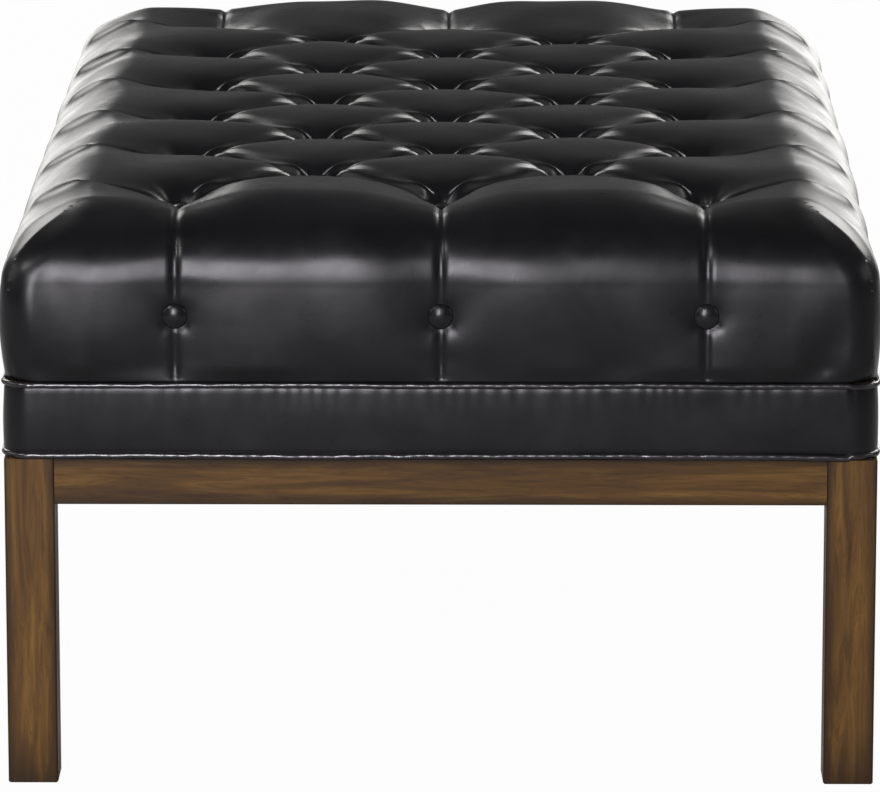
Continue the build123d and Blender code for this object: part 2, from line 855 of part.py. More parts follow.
def make_leather_cover(rooms):
    """The buttoned leather with the filling of its puffs, one piece from the top down to the upper piping."""
    outer = tufted_form()
    inner = foam_shape(wadding_thickness + soft_gap)
    with BuildPart() as cover:
        add(outer)
        add(inner, mode=Mode.SUBTRACT)
        add(rooms, mode=Mode.SUBTRACT)
    finish_part(cover.part, "leather_cover")


def ring(out, radius, thickness, level, height):
    """An upright round-cornered band of even thickness."""
    outer = frame_outline(out, radius, level, height)
    inner_radius = max(radius - thickness, least_corner_radius)
    inner = frame_outline(out - thickness, inner_radius, level, height)
    with BuildPart() as band:
        add(outer)
        add(inner, mode=Mode.SUBTRACT)
    return band.part


def make_piping(name, out, level, radius, flange_bottom, flange_width):
    """A leather-covered cord round the stool, with the sewn flange that runs inward from it."""
    corner = band_corner_radius + out - band_proud
    x = half_width + out
    y = half_length + out
    flange = ring(out, corner, flange_width, flange_bottom, piping_flange_thickness)
    with BuildPart() as piping:
        with BuildLine(Plane.XY.offset(level)):
            FilletPolyline((0, -y), (x, -y), (x, y), (0, y), radius=corner)
        with BuildSketch(Plane((0, -y, level), z_dir=(1, 0, 0))):
            Circle(radius)
        sweep()
        mirror(about=Plane.YZ)
        add(flange)
    finish_part(piping.part, name)


def make_dust_cover():
    """Thin black cloth under the seat, laid over the leg frame and tacked to the seat rails."""
    sheet = frame_outline(-dust_cover_inset, leg_edge_round, frame_height, dust_cover_thickness)
    rooms = [tack_solid(point, screw_hole_gap) for point in tack_places()]
    with BuildPart() as cover:
        add(sheet)
        add(rooms, mode=Mode.SUBTRACT)
        for corner in corner_planes:
            place = corner_screws(corner)[1]
            add(screw_room(place, seat_screw_length, overrun), mode=Mode.SUBTRACT)
    finish_part(cover.part, "dust_cover")


def make_leg_frame():
    """Legs, aprons, cross rail and corner braces, with their screws."""
    cutters = {side: tenon_cutters(side) for side in edge_planes}
    for corner in corner_planes:
        end, side = corner.split("_")
        side_x = 1 if side == "right" else -1
        side_y = 1 if end == "rear" else -1
        make_leg(f"leg_{corner}", side_x, side_y, [cutters[end], cutters[side]])
    level_places = [place for corner in corner_planes for place in corner_screws(corner)[0]]
    upright_places = [corner_screws(corner)[1] for corner in corner_planes]
    holes = [screw_room(place, brace_screw_length, brace_reach) for place in level_places]
    for side in edge_planes:
        make_apron(side, holes)
    make_cross_rail()
    for corner in corner_planes:
        make_brace(corner)
    make_screw_group("brace_screws", level_places, brace_screw_length)
    make_screw_group("seat_screws", upright_places, seat_screw_length)


def make_seat_frame():
    """Rails, slats, dowels and deck board, with the holes for twines, screws and tacks."""
    room_length = dowel_length + 2 * joint_gap
    dowel_rooms = [dowel_solid(p, dowel_radius + joint_gap, room_length) for p in dowel_places()]
    deck_rooms = [deck_screw_solid(point, screw_hole_gap) for point in deck_screw_places()]
    tack_rooms = [tack_solid(point, screw_hole_gap) for point in tack_places()]
    screw_rooms = [screw_room(corner_screws(c)[1], seat_screw_length, overrun) for c in corner_planes]
    for side in edge_planes:
        make_seat_rail(side, dowel_rooms + deck_rooms + tack_rooms + screw_rooms)
    for name, y in zip(("seat_slat_front", "seat_slat_rear"), slat_places()):
        make_slat(name, y, dowel_rooms)
    make_group("frame_dowels", [dowel_solid(p, dowel_radius, dowel_length) for p in dowel_places()])
    board = frame_outline(seat_frame_out, seat_corner_radius, deck_bottom, deck_thickness)
    with BuildPart() as deck:
        add(board)
        add(twine_rooms() + deck_rooms, mode=Mode.SUBTRACT)
    finish_part(deck.part, "deck_board")
    make_group("deck_screws", [deck_screw_solid(point, 0) for point in deck_screw_places()])
    make_dust_cover()
    make_group("dust_cover_tacks", [tack_solid(point, 0) for point in tack_places()])


def make_soft_pieces():
    """Foam, wadding and leather, with the band and the two pipings."""
    rooms = twine_rooms()
    make_foam_block(rooms)
    make_wadding(rooms)
    make_leather_cover(rooms)
    band_height = band_top - band_bottom
    lining_corner = band_corner_radius - leather_thickness
    band = ring(band_proud, band_corner_radius, leather_thickness, band_bottom, band_height)
    finish_part(band, "leather_band")
    lining = ring(band_lining_out, lining_corner, band_wadding_thickness, band_bottom, band_height)
    finish_part(lining, "band_wadding")
    upper_flange_bottom = upper_piping_level - piping_flange_thickness / 2
    make_piping(
        "upper_piping",
        upper_piping_out,
        upper_piping_level,
        upper_piping_radius,
        upper_flange_bottom,
        piping_flange_width,
    )
    make_piping(
        "lower_piping",
        lower_piping_out,
        lower_piping_level,
        lower_piping_radius,
        lower_flange_bottom,
        lower_flange_width,
    )


def make_buttons_and_twines():
    """Covered buttons in their pockets, row by row, and what ties them down."""
    button = button_solid()
    for number, row in enumerate(button_rows(), start=1):
        places = [Location((x, y, pocket_floor)) for x, y in row]
        make_group(f"button_row_{number:02d}", [button.moved(place) for place in places])
    sunk = Location((0, 0, -side_pocket_depth))
    for side in edge_planes:
        buttons = [button.moved(place * sunk) for place in side_button_places(side)]
        make_group(f"side_buttons_{side}", buttons)
    top = top_twine()
    slanting = side_twine()
    make_group("top_twines", [top.moved(place) for place in top_button_places(0)])
    make_group("side_twines", [slanting.moved(place) for place in all_side_places()])
    washer = washer_solid(twine_radius + washer_hole_gap)
    wide_washer = washer_solid(twine_radius + side_washer_hole_gap)
    make_group("top_washers", [washer.moved(place) for place in top_button_places(0)])
    twine_in_washer = side_twine_ends()[1][0] + side_twine_lean * washer_thickness / 2
    under_side = Location((twine_in_washer, 0, 0))
    make_group("side_washers", [wide_washer.moved(place * under_side) for place in all_side_places()])


make_leg_frame()
make_seat_frame()
make_buttons_and_twines()
make_soft_pieces()
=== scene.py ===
# %% [markdown]
# A deep-buttoned leather footstool
# This file dresses the CAD model of a long chesterfield footstool. The CAD gives every piece its place
# and size. Here the leather, the buttons, the piping and the wood get the shapes and finishes that a
# solid model leaves out. Each step says what the piece is on the real stool, how it could be made, and
# why it is made this way.

# %% Load the frame
import bpy
import json
import math
import numpy as np
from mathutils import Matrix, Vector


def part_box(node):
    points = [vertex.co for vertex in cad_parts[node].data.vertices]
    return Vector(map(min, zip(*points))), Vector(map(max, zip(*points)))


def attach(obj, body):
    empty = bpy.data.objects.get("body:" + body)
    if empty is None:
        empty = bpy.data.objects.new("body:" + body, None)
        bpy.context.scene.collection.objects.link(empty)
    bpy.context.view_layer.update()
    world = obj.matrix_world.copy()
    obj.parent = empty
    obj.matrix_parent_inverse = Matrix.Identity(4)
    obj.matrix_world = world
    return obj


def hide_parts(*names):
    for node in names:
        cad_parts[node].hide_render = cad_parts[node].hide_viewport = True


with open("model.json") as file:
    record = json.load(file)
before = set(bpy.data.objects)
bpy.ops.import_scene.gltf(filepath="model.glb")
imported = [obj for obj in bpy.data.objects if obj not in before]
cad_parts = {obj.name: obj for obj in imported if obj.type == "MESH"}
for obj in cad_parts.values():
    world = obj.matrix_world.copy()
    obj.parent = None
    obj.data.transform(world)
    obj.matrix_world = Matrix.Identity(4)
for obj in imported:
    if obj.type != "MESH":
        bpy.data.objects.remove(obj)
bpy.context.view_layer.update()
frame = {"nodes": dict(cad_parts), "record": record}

nodes = frame["nodes"]

# %% [markdown]
# Meshes from arrays
# Every new piece is a surface worked out as whole numpy arrays. One helper hands the arrays to Blender
# with foreach_set, so no Python loop touches a vertex. Another joins the points of a grid into triangles,
# and can close the grid round on itself, as a tube or a ring needs. The stool has no moving part, so
# every piece rides on its one body.

# %% Helpers for meshes
def make_piece(name, points, triangles, material):
    """A smooth-shaded mesh object at the origin, made from an array of points and one of triangles."""
    mesh = bpy.data.meshes.new(name)
    mesh.vertices.add(len(points))
    mesh.loops.add(3 * len(triangles))
    mesh.polygons.add(len(triangles))
    mesh.vertices.foreach_set("co", np.asarray(points, np.float32).ravel())
    mesh.loops.foreach_set("vertex_index", np.asarray(triangles, np.int32).ravel())
    mesh.polygons.foreach_set("loop_start", np.arange(0, 3 * len(triangles), 3, dtype=np.int32))
    mesh.update(calc_edges=True)
    mesh.validate()
    mesh.shade_smooth()
    mesh.materials.append(material)
    piece = bpy.data.objects.new(name, mesh)
    bpy.context.scene.collection.objects.link(piece)
    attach(piece, "root")
    print(name, len(points), "points", len(triangles), "triangles")
    return piece


def grid_triangles(rows, columns, wrap_rows=False, wrap_columns=False, flip=False):
    """Two triangles for each cell of a grid whose points are numbered row by row."""
    i = np.arange(rows if wrap_rows else rows - 1)[:, None]
    j = np.arange(columns if wrap_columns else columns - 1)[None, :]
    a = i * columns + j
    b = i * columns + (j + 1) % columns
    c = (i + 1) % rows * columns + (j + 1) % columns
    d = (i + 1) % rows * columns + j
    first = np.stack([a, b, c], -1).reshape(-1, 3)
    second = np.stack([a, c, d], -1).reshape(-1, 3)
    faces = np.concatenate([first, second])
    return faces[:, ::-1] if flip else faces

# %% [markdown]
# Materials and their shared effects
# Real leather and wood are never one flat colour. Effects that several finishes share are node groups,
# built once: the leather's grain and the wood's figure. A group feeds only colour, roughness or bump
# height. A value that is the same all over is set on the shader's own socket.

# %% A new material, and a node in it
def new_material(name):
    """A node material, its node tree and its one shader."""
    material = bpy.data.materials.new(name)
    material.use_nodes = True
    tree = material.node_tree
    shader = tree.nodes["Principled BSDF"]
    return material, tree, shader


def add_node(tree, kind, **values):
    """A node of that kind. Values name its properties or, with the name's words joined by _, its inputs."""
    node = tree.nodes.new(kind)
    for key, value in values.items():
        label = key.replace("_", " ").title()
        if hasattr(node, key):
            setattr(node, key, value)
        else:
            node.inputs[label].default_value = value
    return node


# %% Ramps, mathematics and mixes
def ramp(tree, source, stops):
    """A colour ramp fed from a socket; stops are (place, grey or colour)."""
    node = tree.nodes.new("ShaderNodeValToRGB")
    elements = node.color_ramp.elements
    while len(elements) < len(stops):
        elements.new(0.5)
    for element, (place, colour) in zip(elements, stops):
        element.position = place
        element.color = (*colour, 1) if hasattr(colour, "__len__") else (colour, colour, colour, 1)
    tree.links.new(source, node.inputs["Fac"])
    return node.outputs["Color"]


def math_node(tree, operation, a, b=None):
    """The result of one math step on sockets or plain numbers."""
    node = tree.nodes.new("ShaderNodeMath")
    node.operation = operation
    for socket, value in zip(node.inputs, (a, b)):
        if value is None:
            continue
        if isinstance(value, (int, float)):
            socket.default_value = value
        else:
            tree.links.new(value, socket)
    return node.outputs[0]


def mixed(tree, factor, a, b, blend="MIX"):
    """Two colours mixed by a factor; each may be a socket or plain values."""
    node = tree.nodes.new("ShaderNodeMix")
    node.data_type = "RGBA"
    node.blend_type = blend
    for socket, value in ((node.inputs[0], factor), (node.inputs[6], a), (node.inputs[7], b)):
        if isinstance(value, (int, float)):
            socket.default_value = value
        elif isinstance(value, tuple):
            socket.default_value = (*value, 1)
        else:
            tree.links.new(value, socket)
    return node.outputs[2]


# %% Node groups
def new_group(name, inputs, outputs):
    """A node group with those sockets, given as (name, kind), and its two end nodes."""
    group = bpy.data.node_groups.new(name, "ShaderNodeTree")
    for socket_name, kind in inputs:
        group.interface.new_socket(socket_name, in_out="INPUT", socket_type=kind)
    for socket_name, kind in outputs:
        group.interface.new_socket(socket_name, in_out="OUTPUT", socket_type=kind)
    entry = group.nodes.new("NodeGroupInput")
    leave = group.nodes.new("NodeGroupOutput")
    return group, entry, leave


def use_group(tree, group, vector):
    """The group placed in a material and fed with a socket's coordinates."""
    node = tree.nodes.new("ShaderNodeGroup")
    node.node_tree = group
    tree.links.new(vector, node.inputs["Vector"])
    return node


# %% [markdown]
# Leather
# The hide is dyed nearly black and polished. It has a fine pebble of about 1 mm, softer creases of a few
# millimetres, and a colour that is mottled by a shade. A photograph of leather would slide over the
# pleats; procedural noise and cells on Object coordinates do not. Pebble and creases go into a light
# bump, and larger patches into the roughness, so the highlights break up slightly. The piping is the
# same hide, stretched and rubbed until it shines more.

# %% Leather grain group
grain, entry, leave = new_group(
    "leather grain",
    [("Vector", "NodeSocketVector")],
    [("Height", "NodeSocketFloat"), ("Mottle", "NodeSocketFloat"), ("Gloss", "NodeSocketFloat")],
)
cells = add_node(grain, "ShaderNodeTexVoronoi", feature="SMOOTH_F1", scale=900, smoothness=0.6)
folds = add_node(grain, "ShaderNodeTexNoise", scale=130, detail=5, roughness=0.55)
clouds = add_node(grain, "ShaderNodeTexNoise", scale=14, detail=3, roughness=0.5)
patches = add_node(grain, "ShaderNodeTexNoise", scale=45, detail=4, roughness=0.6)
for texture in (cells, folds, clouds, patches):
    grain.links.new(entry.outputs["Vector"], texture.inputs["Vector"])
pebble = math_node(grain, "MULTIPLY", cells.outputs["Distance"], 0.22)
fold_height = math_node(grain, "MULTIPLY", folds.outputs["Fac"], 0.75)
grain.links.new(math_node(grain, "ADD", pebble, fold_height), leave.inputs["Height"])
grain.links.new(clouds.outputs["Fac"], leave.inputs["Mottle"])
grain.links.new(patches.outputs["Fac"], leave.inputs["Gloss"])
print("group:", grain.name)


# %% Recipe for leather
def leather_material(name, dark, light, gloss_low, gloss_high, bump, shine=0.25):
    """Polished black leather: mottled colour between dark and light, roughness between two values in
    patches, and the grain as a bump of a given strength."""
    material, tree, shader = new_material(name)
    place = tree.nodes.new("ShaderNodeTexCoord")
    texture = use_group(tree, grain, place.outputs["Object"])
    share = ramp(tree, texture.outputs["Mottle"], [(0.35, 0.0), (0.68, 1.0)])
    tree.links.new(mixed(tree, share, dark, light), shader.inputs["Base Color"])
    gloss = ramp(tree, texture.outputs["Gloss"], [(0.3, gloss_low), (0.7, gloss_high)])
    tree.links.new(gloss, shader.inputs["Roughness"])
    relief = add_node(tree, "ShaderNodeBump", strength=bump, distance=0.0006)
    tree.links.new(texture.outputs["Height"], relief.inputs["Height"])
    tree.links.new(relief.outputs["Normal"], shader.inputs["Normal"])
    shader.inputs["Specular IOR Level"].default_value = shine
    return material


# %% The three leathers
cover_leather = leather_material(
    "waxed black leather", (0.0016, 0.0015, 0.0019), (0.0036, 0.0033, 0.0041), 0.26, 0.35, 0.10
)
button_leather = leather_material(
    "button leather", (0.0030, 0.0029, 0.0036), (0.0055, 0.0052, 0.0062), 0.20, 0.28, 0.20
)
piping_leather = leather_material(
    "piping leather", (0.0035, 0.0030, 0.0036), (0.0090, 0.0072, 0.0082), 0.17, 0.26, 0.25, 0.55
)
print("leathers:", cover_leather.name, button_leather.name, piping_leather.name)

# %% [markdown]
# Wood
# The legs and the apron are a brown hardwood under satin lacquer, with straight dark streaks, small pores,
# edges that the stain left darker and darker feet. Along the apron's top edge the darkening is also
# painted shade, where the lower piping shades the wood. The figure is noise that is stretched along the
# board, so each direction of grain has its own material. The dark edges come from each board's own
# centre and size, and the seat's hidden frame is the same figure in paler tones.

# %% Wood figure group
figure, entry, leave = new_group(
    "wood figure",
    [("Vector", "NodeSocketVector")],
    [("Streak", "NodeSocketFloat"), ("Pore", "NodeSocketFloat"), ("Cloud", "NodeSocketFloat")],
)
bend = add_node(figure, "ShaderNodeTexNoise", scale=2.2, detail=2, roughness=0.5)
bent = add_node(figure, "ShaderNodeVectorMath", operation="MULTIPLY_ADD")
figure.links.new(entry.outputs["Vector"], bend.inputs["Vector"])
figure.links.new(bend.outputs["Color"], bent.inputs[0])
bent.inputs[1].default_value = (0.9, 0.9, 0.9)
figure.links.new(entry.outputs["Vector"], bent.inputs[2])
streaks = add_node(figure, "ShaderNodeTexNoise", scale=3.2, detail=6, roughness=0.62)
pores = add_node(figure, "ShaderNodeTexNoise", scale=26, detail=3, roughness=0.6)
cloud = add_node(figure, "ShaderNodeTexNoise", scale=0.8, detail=2, roughness=0.5)
for texture in (streaks, pores, cloud):
    figure.links.new(bent.outputs[0], texture.inputs["Vector"])
for texture, socket in ((streaks, "Streak"), (pores, "Pore"), (cloud, "Cloud")):
    figure.links.new(texture.outputs["Fac"], leave.inputs[socket])
print("group:", figure.name)


# %% Recipe for wood
def wood_material(name, along, dark, middle, light, roughness, edges=None, coat=0.04):
    """Wood whose figure runs along one axis, 0, 1 or 2. edges gives a board's section as (axis, centre,
    half size, mirrored) for each of two axes: where the nearer of its two outer distances is a few
    millimetres, the colour turns darker. Upright wood also darkens towards the floor."""
    material, tree, shader = new_material(name)
    place = tree.nodes.new("ShaderNodeTexCoord")
    stretch = [34.0, 34.0, 34.0]
    stretch[along] = 2.6
    mapping = add_node(tree, "ShaderNodeMapping")
    mapping.inputs["Scale"].default_value = stretch
    tree.links.new(place.outputs["Object"], mapping.inputs["Vector"])
    grain_node = use_group(tree, figure, mapping.outputs["Vector"])
    streak = grain_node.outputs["Streak"]
    colour = ramp(tree, streak, [(0.26, dark), (0.50, middle), (0.76, light)])
    shade = ramp(tree, grain_node.outputs["Cloud"], [(0.3, 0.72), (0.7, 1.12)])
    colour = mixed(tree, 1.0, colour, shade, "MULTIPLY")
    pore = ramp(tree, grain_node.outputs["Pore"], [(0.36, 0.62), (0.47, 1.0)])
    colour = mixed(tree, 0.7, colour, mixed(tree, 1.0, colour, pore, "MULTIPLY"))
    if edges:
        split = tree.nodes.new("ShaderNodeSeparateXYZ")
        tree.links.new(place.outputs["Object"], split.inputs[0])
        nearness = None
        for axis, centre, half, mirrored in edges:
            value = split.outputs[axis]
            if mirrored:
                value = math_node(tree, "ABSOLUTE", value)
            value = math_node(tree, "ABSOLUTE", math_node(tree, "SUBTRACT", value, centre))
            value = math_node(tree, "SUBTRACT", half, value)
            nearness = value if nearness is None else math_node(tree, "MAXIMUM", nearness, value)
        wander = math_node(tree, "MULTIPLY", streak, 0.004)
        nearness = math_node(tree, "ADD", nearness, wander)
        # the edges turn darker: the stain's own dark edges, and on the apron's top edge also painted shade
        # under the lower piping
        stain_and_shade_share = ramp(tree, math_node(tree, "MULTIPLY", nearness, 100), [(0.22, 0.95), (1.45, 0.0)])
        colour = mixed(tree, stain_and_shade_share, colour, tuple(0.42 * v for v in dark))
        if along == 2:
            uneven = math_node(tree, "MULTIPLY", streak, 0.03)
            low = math_node(tree, "ADD", split.outputs[2], uneven)
            # the colour turns darker towards the floor, over the lowest few centimetres of upright wood
            darker_near_floor = ramp(tree, math_node(tree, "MULTIPLY", low, 10), [(0.16, 0.85), (0.60, 0.0)])
            colour = mixed(tree, darker_near_floor, colour, tuple(0.5 * v for v in dark))
    tree.links.new(colour, shader.inputs["Base Color"])
    rough = ramp(tree, streak, [(0.3, roughness + 0.10), (0.7, roughness - 0.04)])
    tree.links.new(rough, shader.inputs["Roughness"])
    relief = add_node(tree, "ShaderNodeBump", strength=0.25, distance=0.0003)
    tree.links.new(grain_node.outputs["Pore"], relief.inputs["Height"])
    tree.links.new(relief.outputs["Normal"], shader.inputs["Normal"])
    shader.inputs["Coat Weight"].default_value = coat
    shader.inputs["Coat Roughness"].default_value = 0.25
    shader.inputs["Specular IOR Level"].default_value = 0.18
    return material


# %% The woods
leg_middle, leg_half = (0.311, 0.486), 0.019
apron_level, apron_half_height, apron_half = 0.2365, 0.0175, 0.011
# the apron's top and bottom edges turn darker; at the top this is painted shade under the lower piping as
# well as stain
apron_section = (2, apron_level, apron_half_height, False)
dark_tones = ((0.036, 0.0160, 0.0030), (0.092, 0.0440, 0.0085), (0.165, 0.0880, 0.0190))
wood_upright = wood_material(
    "brown wood, upright", 2, *dark_tones, 0.40,
    [(0, leg_middle[0], leg_half, True), (1, leg_middle[1], leg_half, True)],
)
apron_tones = [tuple(0.78 * v for v in tone) for tone in dark_tones]
wood_across = wood_material(
    "brown wood, across", 0, *apron_tones, 0.38, [apron_section, (1, 0.494, apron_half, True)]
)
wood_along = wood_material(
    "brown wood, along", 1, *apron_tones, 0.38, [apron_section, (0, 0.319, apron_half, True)]
)
pale_tones = ((0.30, 0.19, 0.10), (0.42, 0.29, 0.17), (0.52, 0.38, 0.24))
pale_wood_across = wood_material("pale frame wood, across", 0, *pale_tones, 0.62, coat=0.0)
pale_wood_along = wood_material("pale frame wood, along", 1, *pale_tones, 0.62, coat=0.0)
plywood = wood_material("deck plywood", 1, *(tuple(0.9 * v for v in t) for t in pale_tones), 0.6, coat=0.0)
for wood in (wood_upright, wood_across, wood_along, pale_wood_across, pale_wood_along, plywood):
    print("wood:", wood.name)

# %% [markdown]
# Cloth, twine, foam and steel
# These hardly show, but each piece under the stool and inside it still gets what it is made of: a black
# non-woven dust cloth, waxed twine, open-cell foam, fluffy wadding and zinc-plated steel. One recipe
# serves them all: two near colours broken by noise of the right size, which is also the bump.

# %% Plain finishes
def plain_material(name, dark, light, scale, roughness, bump_distance, metallic=0.0):
    """A finish of two near colours broken by noise, with the same noise as its bump."""
    material, tree, shader = new_material(name)
    place = tree.nodes.new("ShaderNodeTexCoord")
    noise = add_node(tree, "ShaderNodeTexNoise", scale=scale, detail=4, roughness=0.6)
    tree.links.new(place.outputs["Object"], noise.inputs["Vector"])
    colour = ramp(tree, noise.outputs["Fac"], [(0.35, dark), (0.65, light)])
    tree.links.new(colour, shader.inputs["Base Color"])
    rough = ramp(tree, noise.outputs["Fac"], [(0.3, roughness * 0.85), (0.7, min(roughness * 1.12, 1.0))])
    tree.links.new(rough, shader.inputs["Roughness"])
    relief = add_node(tree, "ShaderNodeBump", strength=0.4, distance=bump_distance)
    tree.links.new(noise.outputs["Fac"], relief.inputs["Height"])
    tree.links.new(relief.outputs["Normal"], shader.inputs["Normal"])
    shader.inputs["Metallic"].default_value = metallic
    return material


dust_cloth = plain_material(
    "black dust cloth", (0.008, 0.008, 0.009), (0.020, 0.020, 0.022), 900, 0.9, 0.0004
)
twine_finish = plain_material("waxed twine", (0.36, 0.31, 0.22), (0.62, 0.56, 0.44), 1500, 0.7, 0.0003)
foam_finish = plain_material("open foam", (0.55, 0.48, 0.30), (0.72, 0.66, 0.45), 700, 0.95, 0.0008)
wadding_finish = plain_material("polyester wadding", (0.72, 0.72, 0.70), (0.86, 0.86, 0.84), 160, 0.95, 0.002)
steel = plain_material("zinc-plated steel", (0.42, 0.43, 0.44), (0.62, 0.62, 0.63), 300, 0.32, 0.0001, 1.0)
for finish in (dust_cloth, twine_finish, foam_finish, wadding_finish, steel):
    print("plain finish:", finish.name)

# %% [markdown]
# The tufted cover
# The cover of a deep-buttoned seat is one hide, pleated by hand. Buttons pull it down in rows of three
# and two, folded pleats join each button to its neighbours, and the filling between them pushes the hide
# up into puffs. From the outermost buttons single pleats run over the edge and down to the piping.
# Sculpting it would lose the strict layout, and a cloth simulation rounds the pleats off. Instead the
# hide is one grid that lies flat on top, turns over the edges and hangs down the sides. Each point then
# stands in or out along its normal by the sum of a few plain shapes: the puffs, the pleats, the pockets
# of the buttons and, last, small folds and creases.

# %% Helpers for fields of numbers
def smooth_step(low, high, x):
    """0 below low, 1 above high, and the curve 3t^2 - 2t^3 of the share t between them."""
    t = np.clip((x - low) / (high - low), 0, 1)
    return t * t * (3 - 2 * t)


def blurred(field, rows, columns):
    """A field averaged three times over a window of that many cells each way, its rims repeated."""
    for width, axis in ((rows, 0), (columns, 1)):
        half = max(int(width) // 2, 1)
        for _ in range(3):
            pad = [(half + 1, half) if k == axis else (0, 0) for k in (0, 1)]
            total = np.cumsum(np.pad(field, pad, mode="edge"), axis=axis)
            size = field.shape[axis]
            ahead = np.take(total, np.arange(size) + 2 * half + 1, axis=axis)
            behind = np.take(total, np.arange(size), axis=axis)
            field = (ahead - behind) / (2 * half + 1)
    return field


def smooth_noise(shape, rows, columns, seed):
    """Seeded noise blurred over that many cells each way, with a mean of 0 and a spread of 1."""
    field = blurred(np.random.default_rng(seed).standard_normal(shape), rows, columns)
    return (field - field.mean()) / field.std()


# %% Sizes of the cushion
FRAME_X, FRAME_Y = 0.330, 0.505     # outer faces of the wooden frame
HALF_X, HALF_Y = 0.3318, 0.5080     # outermost faces of the cushion
TOP, FOOT = 0.458, 0.3137           # crest of the puffs and the seam over the piping
ROUND = 0.070                       # radius where the top turns into a side
CORNER = 0.027                      # radius of an upright corner, low on the sides
PITCH_X, PITCH_Y = 0.100, 0.075     # half the distance between buttons, across and along
CELLS = 40    # grid cells in one such half pitch
step_x, step_y = PITCH_X / CELLS, PITCH_Y / CELLS
flat_x, flat_y = HALF_X - ROUND, HALF_Y - ROUND
quarter = ROUND * math.pi / 2
side_drop = (TOP - ROUND) - FOOT
reach = quarter + side_drop
count_x = round((flat_x + reach) / step_x)
count_y = round((flat_y + reach) / step_y)
p = np.arange(-count_x, count_x + 1) * step_x
q = np.arange(-count_y, count_y + 1) * step_y
P, Q = np.meshgrid(p, q)
print("cover grid:", P.shape)

# %% [markdown]
# The cushion before it is buttoned
# First comes a plain block: a flat top, a quarter round over the edges and sides that belly slightly. The
# hide's length is kept over the edge, so the grid cells stay even. At a corner the two slopes meet in an
# arc that tightens on the way down, as where a cover is pulled and folded at its corners.

# %% From the flat top down to the foot
def run_down(distance, flat, last):
    """Length of hide beyond the flat top at a grid distance; the last stretch is fitted to the foot."""
    beyond = np.maximum(distance - flat, 0)
    spare = last - flat - quarter
    return np.where(beyond <= quarter, beyond, quarter + (beyond - quarter) * side_drop / spare)


def level_profile(run):
    """Outward reach and height after a run over the edge: a quarter round, then a side that bellies
    slightly and draws in at its foot."""
    angle = np.minimum(run, quarter) / ROUND
    down = np.clip((run - quarter) / side_drop, 0, 1)
    outward = ROUND * np.sin(angle) + 0.0012 * np.sin(math.pi * down) - 0.0022 * down**2
    height = TOP - ROUND * (1 - np.cos(angle)) - side_drop * down
    return outward, height


run_a = run_down(np.abs(P), flat_x, count_x * step_x)
run_b = run_down(np.abs(Q), flat_y, count_y * step_y)
run = np.maximum(run_a, run_b)
outward, height = level_profile(run)
print("hide over the edge and down the side:", round(reach, 4), "m")


# %% Round the corners
def corner_places(run_a, run_b, run, outward):
    """Places beyond the flat top's corner. Each ring of equal run is a straight, an arc and a straight;
    a point's share of the way round the ring is its share of the way round the corner square."""
    safe = np.maximum(run, 1e-9)
    share = np.where(run_a >= run_b, 0.5 * run_b / safe, 1 - 0.5 * run_a / safe)
    turn = smooth_step(0.0, quarter * 1.1, run)
    radius = np.minimum(outward * (1 - turn) + CORNER * turn, outward)
    straight = outward - radius
    arc = radius * math.pi / 2
    way = share * (2 * straight + arc)
    on_arc = np.clip(way - straight, 0, arc)
    angle = on_arc / np.maximum(radius, 1e-9)
    first = np.minimum(way, straight)
    last = np.maximum(way - straight - arc, 0)
    x = straight + radius * np.cos(angle) - last
    y = first + radius * np.sin(angle)
    return x, y


corner_x, corner_y = corner_places(run_a, run_b, run, outward)
in_corner = (run_a > 0) & (run_b > 0)
plain_x = np.minimum(np.abs(P), flat_x) + np.where(run_a > 0, outward, 0)
plain_y = np.minimum(np.abs(Q), flat_y) + np.where(run_b > 0, outward, 0)
plan_x = np.where(in_corner, flat_x + corner_x, plain_x)
plan_y = np.where(in_corner, flat_y + corner_y, plain_y)
base = np.stack([np.sign(P) * plan_x, np.sign(Q) * plan_y, height], -1)
print("cushion block:", base.min((0, 1)), base.max((0, 1)))


# %% Which way is outwards
def surface_normals(surface):
    """Unit normals of a grid of points, from the cross product of its two slopes."""
    across = np.gradient(surface, axis=1)
    along = np.gradient(surface, axis=0)
    normal = np.cross(across, along)
    return normal / np.maximum(np.linalg.norm(normal, axis=-1, keepdims=True), 1e-12)


base_normal = surface_normals(base)
base_normal = np.stack([blurred(base_normal[..., k], 5, 5) for k in range(3)], -1)
base_normal /= np.linalg.norm(base_normal, axis=-1, keepdims=True)
print("outwards at the middle of the top:", base_normal[count_y, count_x].round(3))

# %% [markdown]
# Where the buttons and pleats are
# The top buttons stand in eleven rows, three and two by turns. On the grid, two slanting counts u and v
# rise by one from pleat to pleat, so the distance to the nearest whole odd count is the distance to a
# folded pleat. Beyond the outermost buttons the pleats run straight over the edge.

# %% Places of the buttons on the grid
ROW, END = 2, 5                     # half pitches from the middle to the outermost buttons
wide_rows = [(x, y) for y in range(-END, END + 1, 2) for x in (-ROW, 0, ROW)]
narrow_rows = [(x, y) for y in range(-4, 5, 2) for x in (-1, 1)]
top_buttons = np.array([(x * PITCH_X, y * PITCH_Y) for x, y in wide_rows + narrow_rows])
SIDE_BUTTON_LEVEL = 0.3645
side_button_run = quarter + (TOP - ROUND - SIDE_BUTTON_LEVEL)
spare_x = (count_x * step_x - flat_x - quarter) / side_drop
spare_y = (count_y * step_y - flat_y - quarter) / side_drop
button_p = flat_x + quarter + (side_button_run - quarter) * spare_x
button_q = flat_y + quarter + (side_button_run - quarter) * spare_y
side_seats = [(sign * button_p, y * PITCH_Y) for sign in (-1, 1) for y in range(-END, END + 1, 2)]
side_seats += [(x * PITCH_X, sign * button_q) for sign in (-1, 1) for x in (-ROW, 0, ROW)]
side_seats = np.array(side_seats)
print("top buttons:", len(top_buttons), "side buttons:", len(side_seats))


